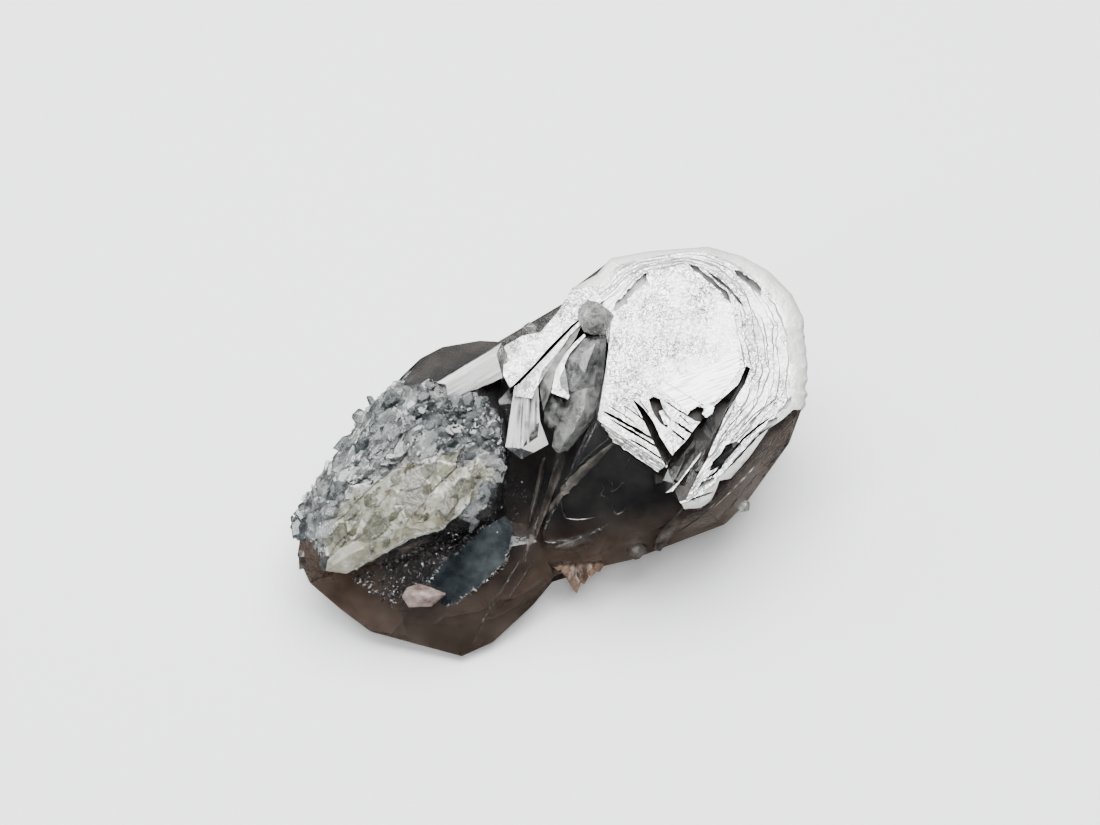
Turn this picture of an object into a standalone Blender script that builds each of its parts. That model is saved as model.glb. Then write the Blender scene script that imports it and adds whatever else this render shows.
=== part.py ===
"""Quartz with hedenbergite: one intergrown cluster of smoky quartz crystals.

The crystals are laid out in millimetres in a slanted layout frame: across (to the right), up and
near, as seen from the front and 55 degrees above the ground. At the end the fused cluster is cut
flat underneath and turned to stand on that cut, with its long axis along +X and +Z up.
"""

import math
import random

import bmesh
import bpy
from mathutils import Matrix, Vector, noise
from mathutils.bvhtree import BVHTree

# ---- driving dimensions (millimetres and degrees) ----
MM = 0.001
LAYOUT_ELEVATION = 55.0  # the layout frame's near axis points this far above the ground
LAYOUT_TURN = -24.0  # and this far round from the front
BASE_HEIGHT = -9.3  # the flat cut's height, measured up from the layout origin

SILVER_POINT = (6.9, 3.9, 4.0)  # the large flat face: a point on it and its outward direction
SILVER_NORMAL = (0.12, 0.30, 0.946)
TERRACE_DROPS = (0.0, 0.3, 0.62, 0.9, 1.25, 1.55, 1.9, 2.2, 2.6)  # each growth ledge below that face
TERRACE_POINTS = 30
TERRACE_DEPTH = 1.3  # how far each terrace's wall runs down into the crystal
TERRACE_FLARE = 0.12  # how far that wall leans out
RIM_FLARE = -0.45  # the lowest one leans in, to meet the dark crystal

CRUST_EDGE = 0.56  # the longest edge that the crust's surface is cut into
CRUST_PLATES = ((2.1, 0.55, 0.50), (0.95, 0.34, 0.45))  # each size of plate: across, rise, tilt
PATCH_PLATES = ((2.6, 0.16, 0.16),)
SPARKLE_PLATES = ((0.8, 0.45, 0.5),)

CUTTER_LIFT = 0.8  # how far above the flat face its cutters start
PLATE_POINT = (-0.3, 4.2, 3.9)  # the valley's pale plates: a point on them and their outward direction
PLATE_NORMAL = (-0.12, 0.34, 0.93)

VOLUME_SLACK = 0.002  # cubic millimetres

UP_SIN = math.sin(math.radians(LAYOUT_ELEVATION))
UP_COS = math.cos(math.radians(LAYOUT_ELEVATION))


# ---- places ----
def hidden(across, back, height):
    """A layout point given by its distance back from the front and its height, for the far side."""
    return Vector((across, back * UP_SIN + height * UP_COS, height * UP_SIN - back * UP_COS))


def near_on(point, normal, across, up):
    """How near the plane through point is at that place across and up."""
    px, py, pz = point
    nx, ny, nz = normal
    return pz - (nx * (across - px) + ny * (up - py)) / nz


def on_silver(across, up, drop=0.0):
    return Vector((across, up, near_on(SILVER_POINT, SILVER_NORMAL, across, up) - drop))


def along(path, share):
    """The point at that share of the path's length."""
    points = [Vector(point) for point in path]
    lengths = [(b - a).length for a, b in zip(points, points[1:])]
    left = share * sum(lengths)
    for a, b, length in zip(points, points[1:], lengths):
        if left <= length:
            return a.lerp(b, left / length)
        left -= length
    return points[-1]


# ---- closed shapes ----
def new_object(name, build):
    """An object whose mesh the function build makes in a bmesh, with its faces turned outwards."""
    shape = bmesh.new()
    build(shape)
    bmesh.ops.recalc_face_normals(shape, faces=shape.faces)
    mesh = bpy.data.meshes.new(name)
    shape.to_mesh(mesh)
    shape.free()
    made = bpy.data.objects.new(name, mesh)
    bpy.context.scene.collection.objects.link(made)
    return made


def hull(name, points):
    """The convex crystal that these corners span."""

    def build(shape):
        for point in points:
            shape.verts.new(point)
        made = bmesh.ops.convex_hull(shape, input=list(shape.verts))
        inside = {*made["geom_interior"], *made["geom_unused"]}
        loose = [part for part in inside if isinstance(part, bmesh.types.BMVert)]
        bmesh.ops.delete(shape, geom=loose, context="VERTS")

    return new_object(name, build)


def slab(name, outline, thickness, flare=0.0):
    """A plate below the outline's points, its wall leaning out by flare at the bottom."""
    points = [Vector(point) for point in outline]
    middle = sum(points, Vector()) / len(points)
    down = Vector((0.0, 0.0, -thickness))

    def build(shape):
        top = [shape.verts.new(point) for point in points]
        low = []
        for point in points:
            out = (point - middle) * Vector((1.0, 1.0, 0.0))
            low.append(shape.verts.new(point + down + out.normalized() * flare))
        shape.faces.new(top)
        shape.faces.new(reversed(low))
        for i, corner in enumerate(top):
            after = (i + 1) % len(top)
            shape.faces.new((corner, low[i], low[after], top[after]))
        bmesh.ops.triangulate(shape, faces=[face for face in shape.faces if len(face.verts) > 4])

    return new_object(name, build)


def prism(name, foot, tip, width, thickness, point_share=0.3, roll=0.0, sides=6):
    """A six-sided crystal from foot to its pointed tip, with that width and thickness."""
    foot, tip = Vector(foot), Vector(tip)
    axis = (tip - foot).normalized()
    turn = axis.to_track_quat("Z", "Y").to_matrix() @ Matrix.Rotation(roll, 3, "Z")
    length = (tip - foot).length
    corners = []
    for side in range(sides):
        angle = math.tau * side / sides
        ring = Vector((math.cos(angle) * width / 2, math.sin(angle) * thickness / 2, 0.0))
        shoulder = length * (1.0 - point_share * (0.75 + 0.5 * (side % 2)))
        corners.append(foot + turn @ ring)
        corners.append(foot + turn @ (ring + Vector((0.0, 0.0, shoulder))))
    return hull(name, [*corners, tip])


def pebble(name, centre, radii, seed, corners=16):
    """A rounded, many-faced knob."""
    dice = random.Random(seed)
    points = []
    for i in range(corners):
        height = 1.0 - (2.0 * i + 1.0) / corners
        angle = i * 2.4 + dice.uniform(-0.25, 0.25)
        ring = math.sqrt(1.0 - height * height)
        out = Vector((ring * math.cos(angle), ring * math.sin(angle), height))
        points.append(Vector(centre) + out * Vector(radii))
    return hull(name, points)


# ---- rough surfaces ----
def plate_height(place, plates):
    """How far a patchwork of small tilted crystal plates stands up at that place."""
    height = 0.0
    for across, rise, tilt in plates:
        spot = place / across
        cell = noise.voronoi(spot)[1][0]
        dice = noise.cell_vector(cell * 9.7)
        lean = Vector((dice.y - 0.5, dice.z - 0.5, dice.x - 0.5))
        height += rise * (dice.x - 0.35) + tilt * across * lean.dot(spot - cell)
    return height


def roughen(thing, regions, longest):
    """Cuts the surface finely inside the regions, and raises it there into small plates.

    A region is an outline in the layout, the nearness that its surface lies above, and its plates.
    """
    shape = bmesh.new()
    shape.from_mesh(thing.data)

    def plates_at(place):
        for outline, lowest, plates in regions:
            if place.z > lowest and inside(outline, place.x, place.y):
                return plates
        return None

    for share in (16, 8, 8, 4, 4, 2, 2, 1, 1):
        long_edges = []
        for edge in shape.edges:
            middle = (edge.verts[0].co + edge.verts[1].co) / 2
            wanted = share > 4 or plates_at(middle)
            if wanted and edge.calc_length() > share * longest:
                long_edges.append(edge)
        bmesh.ops.subdivide_edges(
            shape, edges=long_edges, cuts=1, use_grid_fill=True, use_single_edge=True
        )
        bmesh.ops.triangulate(shape, faces=[face for face in shape.faces if len(face.verts) > 3])
    shape.normal_update()
    lifts = []
    for vertex in shape.verts:
        plates = plates_at(vertex.co)
        if plates:
            lifts.append((vertex, vertex.normal * plate_height(vertex.co, plates)))
    for vertex, lift in lifts:
        vertex.co += lift
    shape.to_mesh(thing.data)
    shape.free()
    return thing


def inside(region, x, y):
    """Whether the place lies inside the region's outline."""
    crossings = 0
    for (ax, ay), (bx, by) in zip(region, region[1:] + region[:1]):
        if (ay > y) != (by > y) and x < ax + (y - ay) / (by - ay) * (bx - ax):
            crossings += 1
    return crossings % 2 == 1


# ---- joining ----
def drop_object(thing):
    bpy.data.objects.remove(thing, do_unlink=True)


def applied(thing):
    """Replaces the object's mesh by what its modifiers make of it."""
    graph = bpy.context.evaluated_depsgraph_get()
    mesh = bpy.data.meshes.new_from_object(thing.evaluated_get(graph))
    thing.modifiers.clear()
    thing.data = mesh
    return thing


def measured(thing):
    """The object's volume, and whether its surface is closed."""
    shape = bmesh.new()
    shape.from_mesh(thing.data)
    found = shape.calc_volume(), all(edge.is_manifold for edge in shape.edges)
    shape.free()
    return found


def boolean(base, others, operation):
    """Joins the others to the base, or cuts them from it, one after another.

    The exact solver loses the body, or leaves it open, where two ledges nearly share a wall. Its
    volume or its edges show that, and the manifold solver then does the same step.
    """
    for other in others:
        other.hide_render = True
        other.display_type = "WIRE"
        before, most = measured(base)[0], measured(other)[0]
        low, high = (before, before + most) if operation == "UNION" else (before - most, before)
        start = base.data.copy()
        for solver in ("EXACT", "MANIFOLD"):
            base.data = start.copy()
            change = base.modifiers.new(operation.title(), "BOOLEAN")
            change.operation = operation
            change.solver = solver
            change.object = other
            applied(base)
            size, closed = measured(base)
            if closed and low - VOLUME_SLACK <= size <= high + VOLUME_SLACK:
                break
        drop_object(other)
    return base


def drop_specks(thing):
    """Keeps the largest connected surface, because the joins can leave tiny bubbles and crumbs."""
    shape = bmesh.new()
    shape.from_mesh(thing.data)
    pieces, left = [], set(shape.verts)
    while left:
        piece, edge_of_piece = set(), [left.pop()]
        while edge_of_piece:
            vertex = edge_of_piece.pop()
            piece.add(vertex)
            around = {edge.other_vert(vertex) for edge in vertex.link_edges} & left
            left -= around
            edge_of_piece.extend(around)
        pieces.append(piece)
    pieces.sort(key=len)
    bmesh.ops.delete(shape, geom=[v for piece in pieces[:-1] for v in piece], context="VERTS")
    shape.to_mesh(thing.data)
    shape.free()


def surface_of(thing):
    shape = bmesh.new()
    shape.from_mesh(thing.data)
    tree = BVHTree.FromBMesh(shape)
    shape.free()
    return tree


# ---- the right crystal ----
PLATEAU_EDGE = (
    (3.8, 6.2), (5.9, 8.6), (8.25, 9.2), (9.75, 8.55), (11.2, 6.75), (11.7, 4.4),
    (12.0, 2.6), (11.1, 0.1), (9.6, -2.3), (7.6, -4.7),
)  # the innermost ledge, from the left round the top to the lower right
RIM_EDGE = (
    (1.35, 7.75), (2.9, 8.6), (3.8, 9.65), (6.1, 10.1), (9.9, 10.4), (12.1, 9.8), (13.75, 8.9),
    (15.2, 7.4), (15.9, 5.9), (16.1, 2.9), (16.05, 0.6), (15.5, -0.1), (13.7, -1.8),
    (11.1, -4.1), (9.5, -5.85), (8.25, -5.95),
)  # the outermost ledge, over the same stretch
SILVER_CLOSE = ((7.05, -3.25), (2.9, -0.45), (3.35, 2.0), (3.6, 3.9))  # the flat face's plain edges


def terrace_outline(level, levels):
    """The edge of one growth ledge: between the plateau's edge and the rim, a little uneven."""
    dice = random.Random(40 + level)
    phase = [dice.uniform(0.0, math.tau) for _ in range(3)]
    outline = []
    for i in range(TERRACE_POINTS):
        share = i / (TERRACE_POINTS - 1)
        inner = along(PLATEAU_EDGE, share)
        outer = along(RIM_EDGE, share)
        wave = math.sin(share * 9.0 + phase[0]) + 0.6 * math.sin(share * 23.0 + phase[1])
        out = (level + 0.22 * wave * (0 < level < levels)) / levels
        outline.append(inner.lerp(outer, out))
    middle = Vector((8.2, 2.8))
    close = [Vector(point).lerp(middle, 0.035 * level) for point in SILVER_CLOSE]
    return outline + close


def terraces():
    """The pearly plate and its nested growth ledges."""
    plates = []
    levels = len(TERRACE_DROPS) - 1
    for level, drop in enumerate(TERRACE_DROPS):
        outline = [on_silver(x, y, drop) for x, y in terrace_outline(level, levels)]
        deep = TERRACE_DEPTH + (2.2 if level == 0 else 0.0)
        flare = RIM_FLARE if level == levels else TERRACE_FLARE
        plates.append(slab(f"terrace {level}", outline, deep, flare))
    return plates


def front_strips():
    """Thin steps along the flat face's lower edge."""
    left, right = Vector((2.9, -0.45)), Vector((7.05, -3.25))
    out = Vector((-0.55, -0.835))
    strips = []
    for step in (1, 2, 3):
        shift = out * 0.2 * step
        inset = (right - left) * 0.04 * step
        low_left, low_right = left + shift + inset, right + shift - inset * 0.5
        outline = [left - out, low_left, low_right, right - out]
        points = [on_silver(x, y, 0.22 * step) for x, y in outline]
        strips.append(slab(f"strip {step}", points, 1.4, 0.02))
    return strips


def facet(a, b, c):
    """The plane through three corners, as a point and its direction."""
    a, b, c = Vector(a), Vector(b), Vector(c)
    return a, (b - a).cross(c - a).normalized()


def on_facet(plane, *places):
    return [Vector((x, y, near_on(*plane, x, y))) for x, y in places]


def smoky_body():
    """The dark crystal under the terraces, with its front facets."""
    top = [on_silver(x, y, 0.7) for x, y in SILVER_CLOSE]
    rim = (
        (1.35, 7.7, 0.4), (3.8, 9.55, -0.2), (6.1, 9.95, -0.5), (9.9, 10.2, -1.2), (12.1, 9.6, -1.3),
        (13.7, 8.7, -1.4), (15.1, 7.2, -1.4), (15.8, 5.8, -1.3), (15.95, 2.9, -1.0),
        (15.9, 0.6, -0.3), (15.4, -0.2, 0.6), (13.6, -1.9, 2.4), (11.1, -4.2, 3.6),
    )
    dark_front = facet((7.05, -3.25, 5.6), (3.4, -7.1, 2.6), (8.1, -5.9, 4.0))
    narrow_left = facet((2.9, -0.5, 5.1), (-0.5, -7.6, 1.9), (1.06, -4.4, 3.9))
    front = on_facet(dark_front, (7.05, -3.25), (3.4, -7.1), (8.1, -5.9), (9.5, -5.8))
    front += on_facet(narrow_left, (2.9, -0.5), (-0.5, -7.6), (1.06, -4.4))
    front += [Vector(place) for place in (
        (0.25, -10.2, -0.9), (3.6, -9.6, -1.1), (5.1, -9.25, -1.0), (7.0, -8.4, -0.9),
        (8.7, -7.75, -0.7), (11.0, -7.0, -0.8), (12.2, -5.8, -0.6), (13.6, -3.65, -0.8),
        (15.0, -1.95, -0.9),
    )]
    flank = ((0.5, 3.5, 0.5), (0.3, -1.0, 1.6), (-0.3, -6.0, 1.2))
    far = [
        hidden(*place)
        for place in (
            (3.5, 9.6, 1.0), (10.0, 10.4, 1.5), (14.4, 6.5, -1.0), (15.2, 1.5, -3.5),
            (12.0, -2.2, -6.0), (5.0, -5.6, -7.6), (2.0, -4.5, -9.9), (10.5, -2.0, -9.9),
            (11.8, 3.0, -9.9), (8.5, 7.0, -9.9), (3.0, 6.6, -9.9), (9.0, 9.6, -4.0),
        )
    ]
    return hull("smoky body", [*top, *rim, *front, *flank, *far])


def channel(name, path, width, depth):
    """A narrow cutter along the path on the flat face, tapering to its ends."""
    left, right = [], []
    for i, point in enumerate(path):
        before, after = Vector(path[max(i - 1, 0)]), Vector(path[min(i + 1, len(path) - 1)])
        way = (after - before).normalized()
        share = 1.0 if 0 < i < len(path) - 1 else 0.4
        side = Vector((-way.y, way.x)) * width / 2 * share
        left.append(Vector(point) + side)
        right.append(Vector(point) - side)
    outline = [on_silver(x, y, -CUTTER_LIFT) for x, y in left + right[::-1]]
    return slab(name, outline, CUTTER_LIFT + depth, -0.02)


def notch_cutters():
    """The V-shaped notch in the flat face, and its pits and slots."""
    band = ((12.1, 2.9), (11.6, 1.8), (10.0, 0.4), (9.0, -0.7), (8.25, -1.75), (7.5, -2.5), (7.1, -3.3),
            (6.3, -4.9), (7.0, -6.3), (8.1, -5.9), (8.7, -4.5), (9.15, -3.7), (9.6, -3.0), (10.1, -1.8),
            (10.4, -1.1), (10.7, -0.3), (11.4, 0.85), (12.0, 1.75), (12.4, 2.8))
    crack = ((5.05, 0.85), (5.6, 0.0), (6.0, -0.9), (6.6, -2.2), (7.15, -3.3), (7.7, -3.1), (7.15, -2.5),
             (6.6, -1.6), (6.15, -0.6), (5.65, 0.2))
    long_pit = ((6.05, 0.8), (6.3, 0.95), (6.65, 0.85), (6.85, 0.35), (7.3, -0.5), (7.1, -0.9), (6.8, -0.7),
                (6.4, -0.15))
    round_pit = ((8.3, -0.2), (8.5, 0.1), (9.05, 0.45), (9.5, 0.3), (9.4, -0.05), (10.1, -0.35),
                 (9.5, -0.7), (8.9, -0.6))
    cutters = []
    for name, outline, depth, flare in (
        ("band", band, 1.6, -0.15), ("crack", crack, 1.1, -0.04),
        ("long pit", long_pit, 0.7, -0.12), ("round pit", round_pit, 0.6, -0.12),
    ):
        points = [on_silver(x, y, -CUTTER_LIFT) for x, y in outline]
        cutters.append(slab(name, points, CUTTER_LIFT + depth, flare))
    slots = (
        (((5.94, 8.63), (5.69, 8.19), (4.75, 7.19), (3.94, 6.25)), 0.30, 0.45),
        (((8.63, 9.25), (9.75, 8.38), (10.75, 7.5), (11.19, 6.75)), 0.24, 0.6),
        (((11.5, 8.88), (12.19, 8.38), (12.94, 7.75), (13.13, 7.31)), 0.30, 1.1),
    )
    for i, (path, width, depth) in enumerate(slots):
        cutters.append(channel(f"slot {i}", path, width, depth))
    return cutters


# ---- the left crystal ----
def left_body():
    """The smoky crystal that carries the crust."""
    top = (
        (-13.75, -9.2, 3.3), (-9.9, -8.6, 4.0), (-6.5, -7.25, 4.2), (-3.7, -6.4, 3.9),
        (-2.9, -3.9, 4.1), (-2.7, -2.9, 4.1), (-4.5, 1.2, 3.7), (-7.5, 1.9, 2.9),
        (-9.4, 1.6, 1.8), (-12.0, -3.0, 2.8), (-14.0, -6.0, 2.2),
    )
    edge = (
        (-15.5, -7.2, 0.5), (-14.6, -4.5, 0.1), (-12.7, -2.4, -0.3), (-11.15, 0.1, -0.5),
        (-9.25, 2.3, -0.4), (-8.1, 3.4, -0.1), (-6.75, 4.1, -0.1), (-4.4, 4.5, 0.1),
        (-2.75, 4.4, 0.5), (-15.75, -8.9, 0.9), (-15.0, -10.6, 0.8),
    )
    far = [
        hidden(*place)
        for place in (
            (-14.0, -7.5, -7.5), (-13.0, -6.0, -9.9), (-3.0, -7.0, -9.9), (-2.0, 4.5, -9.9),
            (-8.0, 4.0, -9.9), (-13.0, 1.0, -9.9), (-14.5, -1.5, -5.0), (-10.5, 3.0, -3.5),
            (-5.0, 6.5, -2.5), (-2.0, 6.5, -3.0),
        )
    ]
    body = hull("left body", [*top, *edge, *far])
    regions = [(CRUST_REGION, -2.0, CRUST_PLATES), (SPARKLE_REGION, 0.0, SPARKLE_PLATES)]
    return roughen(body, regions, CRUST_EDGE)


def lower_prism():
    """The brown crystal that the left one stands on."""
    ridge = (
        (-13.4, -10.1, 2.3), (-9.4, -11.7, 1.9), (-6.5, -12.0, 2.0), (-2.5, -8.3, 2.6),
        (-0.75, -8.0, 2.2), (-3.0, -11.2, 1.7),
    )
    edge = (
        (-15.0, -10.6, 0.7), (-13.1, -12.25, 0.4), (-11.2, -13.7, 0.2), (-7.8, -14.6, 0.1),
        (-5.5, -15.25, 0.1), (-3.6, -14.4, -0.2), (-1.1, -12.1, -0.4), (0.25, -10.2, -0.5),
    )
    far = [
        hidden(*place)
        for place in ((-13.0, -8.5, -9.9), (-6.5, -10.6, -9.9), (1.0, -5.0, -9.9), (-12.0, 0.0, -9.9),
                      (0.0, 2.0, -9.9), (-5.0, -1.0, -3.0))
    ]
    return hull("lower prism", [*ridge, *edge, *far])


def blue_panel():
    """The smooth dark facet between two broken ridges, below the crust."""
    return hull(
        "blue panel",
        [
            (-7.6, -10.3, 2.9), (-3.75, -6.9, 3.9), (-2.4, -7.7, 2.9), (-6.4, -12.0, 2.1),
            (-7.2, -9.0, -1.0), (-2.0, -6.0, -1.0), (-5.5, -12.0, -1.0), (-8.6, -10.9, 2.2),
        ],
    )


CRUST_REGION = (
    (-16.5, -7.6), (-15.6, -4.0), (-13.5, -1.2), (-11.6, 1.4), (-9.6, 2.2), (-7.3, 1.9),
    (-4.2, 1.5), (-2.4, -0.8), (-2.4, -3.4), (-3.4, -6.2), (-4.8, -7.2), (-6.4, -7.0),
    (-12.5, -9.2), (-14.6, -9.0),
)
SPARKLE_REGION = ((-12.9, -10.2), (-9.9, -9.0), (-6.3, -7.6), (-4.3, -7.3), (-7.2, -10.2), (-9.5, -11.8))


def cream_patch():
    """The smoother patch of the crust: a plate with a sharp, undercut lower edge."""
    face = facet((-13.0, -8.8, 3.75), (-5.6, -5.6, 4.7), (-9.0, -3.6, 4.2))
    outline = (
        (-13.85, -9.65), (-12.1, -9.85), (-9.9, -8.65), (-8.3, -7.8), (-6.5, -7.3), (-5.0, -5.5),
        (-4.4, -3.6), (-7.0, -2.9), (-9.4, -3.35), (-10.4, -4.1), (-12.3, -4.6), (-13.6, -5.8),
        (-14.0, -7.4), (-13.5, -9.0),
    )
    plate = slab("cream patch", on_facet(face, *outline), 1.8, -0.5)
    return roughen(plate, [(CRUST_REGION, 3.6, PATCH_PLATES)], 1.5 * CRUST_EDGE)


# ---- the crystals between them ----
def valley_floor():
    """What joins the two large crystals."""
    seen = (
        (-3.3, 4.4, 0.2), (-1.9, 4.8, 0.6), (0.3, 5.9, 0.4), (1.6, 6.9, 0.6), (3.5, 8.4, 0.6),
        (4.2, 1.0, 2.6), (-3.4, 0.5, 2.8), (-3.2, -5.0, 2.0), (-1.2, -5.0, 1.6), (1.4, -8.0, 1.0),
        (-0.6, -9.5, 0.6),
    )
    far = [
        hidden(*place)
        for place in ((-4.0, 6.0, -9.9), (4.0, 7.5, -9.9), (-4.0, -8.0, -9.9), (4.0, -5.0, -9.9),
                      (2.0, 8.5, -4.0), (-3.0, 6.8, -4.0))
    ]
    return hull("valley floor", [*seen, *far])


def white_plates():
    """The pale plates at the top of the valley, with slanting grooves between them."""
    plates = (
        (((-2.8, 4.1), (-1.7, 4.75), (-0.6, 4.95), (0.55, 6.3), (1.3, 7.6), (2.6, 7.8), (3.3, 6.9),
          (1.3, 5.35), (-0.1, 3.95), (-1.0, 2.9), (-2.05, 1.85), (-2.45, 1.5), (-2.9, 2.3)), 0.0),
        (((3.2, 6.6), (2.4, 6.2), (1.35, 5.2), (0.0, 3.75), (-1.9, 1.75), (-2.2, 1.0), (-1.1, 0.85),
          (-0.75, 1.6), (-0.6, 2.45), (1.25, 4.75), (2.0, 5.5)), 0.12),
        (((2.1, 4.85), (1.5, 4.3), (0.9, 3.6), (0.35, 2.6), (0.05, 1.2), (1.1, 0.8), (1.2, 1.0),
          (0.6, 1.6), (0.55, 2.1), (0.9, 2.9), (1.2, 3.6), (2.2, 4.7)), 0.35),
        (((1.9, 5.3), (1.3, 5.1), (-0.7, 2.5), (-0.6, 1.2), (-0.4, 0.1), (0.0, 1.2), (0.35, 2.6),
          (0.9, 3.6), (1.6, 4.6)), 0.05),
    )
    made = []
    for i, (outline, rise) in enumerate(plates):
        points = [(x, y, near_on(PLATE_POINT, PLATE_NORMAL, x, y) + rise) for x, y in outline]
        made.append(slab(f"white plate {i}", points, 3.2, 0.2))
    return made


def valley_crystals():
    """The named small crystals of the valley."""
    upper = hull(
        "clear crystal upper",
        [
            (3.5, 4.75, 4.2), (3.3, 2.25, 4.4), (3.0, 0.8, 4.6), (0.6, 1.9, 4.6), (0.95, 3.3, 4.4),
            (2.1, 4.6, 4.3), (2.75, 4.2, 5.1), (2.1, 2.4, 5.8), (0.9, 1.6, 5.1), (1.2, 1.3, 5.3),
            (1.5, 1.2, 2.6), (2.6, 3.8, 2.4), (1.4, 3.3, 5.2),
        ],
    )
    lower = hull(
        "clear crystal lower",
        [
            (3.1, 1.6, 4.7), (2.85, -0.3, 4.6), (1.9, -1.4, 4.6), (1.1, -2.35, 4.5), (0.45, -2.5, 4.5),
            (0.1, -2.1, 4.5), (0.3, -0.9, 4.6), (0.75, 0.2, 4.7), (1.2, 1.2, 4.9), (2.2, 1.5, 5.7),
            (2.1, 0.2, 5.9), (1.4, -1.2, 5.9), (0.75, -2.05, 5.2), (1.2, -0.6, 2.6), (2.6, 1.0, 2.6),
        ],
    )
    side = hull(
        "second lobe",
        [
            (0.05, 1.15, 4.5), (-0.35, 0.2, 4.5), (-0.4, -0.6, 4.6), (0.05, -1.0, 4.7), (0.5, -0.9, 4.9),
            (0.95, 0.6, 4.8), (0.4, 0.5, 5.3), (0.2, -0.3, 5.3), (0.1, -0.5, 2.8), (0.5, 0.8, 3.0),
        ],
    )
    bead = hull(
        "bead",
        [
            (2.3, 6.95, 4.3), (1.75, 6.35, 4.3), (1.65, 5.9, 4.4), (2.05, 4.95, 4.4), (2.6, 4.75, 4.4),
            (3.35, 4.75, 4.4), (3.75, 5.5, 4.4), (3.95, 5.95, 4.3), (3.6, 6.35, 4.3), (2.9, 6.8, 4.2),
            (2.3, 6.5, 4.95), (2.0, 5.9, 5.1), (2.5, 5.2, 5.1), (3.3, 5.3, 5.1), (3.45, 6.0, 5.0),
            (2.7, 6.0, 5.4), (2.7, 5.8, 3.0),
        ],
    )
    white = hull(
        "white prism",
        [
            (-2.2, 1.3, 4.3), (-1.5, 1.75, 4.9), (-0.8, 1.6, 4.6), (-0.7, 1.2, 3.2), (-2.0, 1.0, 3.2),
            (-2.75, -2.1, 4.6), (-1.75, -2.2, 5.4), (-0.85, -1.7, 5.1), (-0.8, -1.6, 3.2),
            (-2.4, -1.9, 3.2), (-1.85, -2.9, 4.9), (-0.95, -2.6, 4.9),
        ],
    )
    lying = hull(
        "lying prism",
        [
            (-7.0, 1.85, 3.2), (-6.4, 1.75, 4.0), (-6.25, 0.75, 3.5), (-5.9, 1.2, 1.8),
            (-3.0, 4.3, 3.0), (-3.3, 3.6, 4.4), (-2.9, 2.1, 4.0), (-2.9, 2.6, 1.8),
        ],
    )
    small = prism("small clear", (-2.9, 2.2, 3.2), (-2.9, 4.2, 4.4), 0.75, 0.8, 0.35, 0.3)
    return [upper, lower, side, white, lying, small, bead]


# ---- small crystals round the edge ----
def edge_crystals():
    made = [
        pebble("left knob", (-11.9, -0.25, 0.0), (0.55, 0.55, 0.5), 11, 14),
        pebble("top knob", (-1.25, 5.25, 1.2), (0.5, 0.4, 0.45), 12, 14),
        pebble("right bead", (12.15, -5.85, -0.4), (0.45, 0.45, 0.5), 13, 14),
        prism("pink crystal", (-9.2, -11.2, 2.4), (-6.4, -11.3, 2.9), 1.35, 1.2, 0.3, 0.4),
        prism("corner crystal", (5.0, -7.9, 0.8), (5.7, -9.25, 0.3), 1.1, 1.0, 0.5),
        hull("blade", [(8.2, -5.8, 4.2), (8.5, -6.2, 3.4), (6.5, -8.6, 0.6), (6.9, -8.7, 0.0),
                       (8.4, -6.4, 1.5), (6.6, -7.6, 2.6)]),
        prism("end crystal", (-14.6, -8.0, 0.6), (-15.6, -9.8, 1.3), 1.3, 1.0, 0.4),
    ]
    dice = random.Random(21)
    for i in range(7):
        foot = Vector((0.7 + 0.36 * i, -9.7 + dice.uniform(-0.1, 0.1), -0.5))
        tip = foot + Vector((dice.uniform(-0.3, 0.5), -dice.uniform(0.7, 1.7), dice.uniform(0.0, 0.6)))
        made.append(prism(f"brown crystal {i}", foot, tip, 0.75, 0.6, 0.4, dice.uniform(0.0, 1.0)))
    return made


def scatter(surface, seed, count, region, size, tilt=0.9, low_x=None):
    """Small pointed crystals growing out of the surface inside a region of the layout."""
    dice = random.Random(seed)
    xs = [x for x, _ in region]
    ys = [y for _, y in region]
    made = []
    while len(made) < count:
        x, y = dice.uniform(min(xs), max(xs)), dice.uniform(min(ys), max(ys))
        if not inside(region, x, y):
            continue
        place, normal, _, _ = surface.ray_cast(Vector((x, y, 30.0)), Vector((0.0, 0.0, -1.0)))
        if place is None:
            continue
        width = dice.uniform(*size)
        lean = Vector([dice.uniform(-tilt, tilt) for _ in range(3)])
        way = (normal + lean).normalized()
        foot = place - way * width * 0.6
        tip = place + way * width * dice.uniform(0.4, 0.9)
        made.append(prism(f"sprout {seed} {len(made)}", foot, tip, width, width * 0.8, 0.45))
    return made


SADDLE_REGION = ((-8.0, 1.6), (-3.0, 2.2), (-2.4, 0.2), (-3.4, -1.0), (-8.0, 0.0))
RIDGE_REGION = ((-0.8, -7.4), (0.8, -7.4), (0.6, -8.3), (-2.6, -9.6), (-2.8, -8.7))


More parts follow.
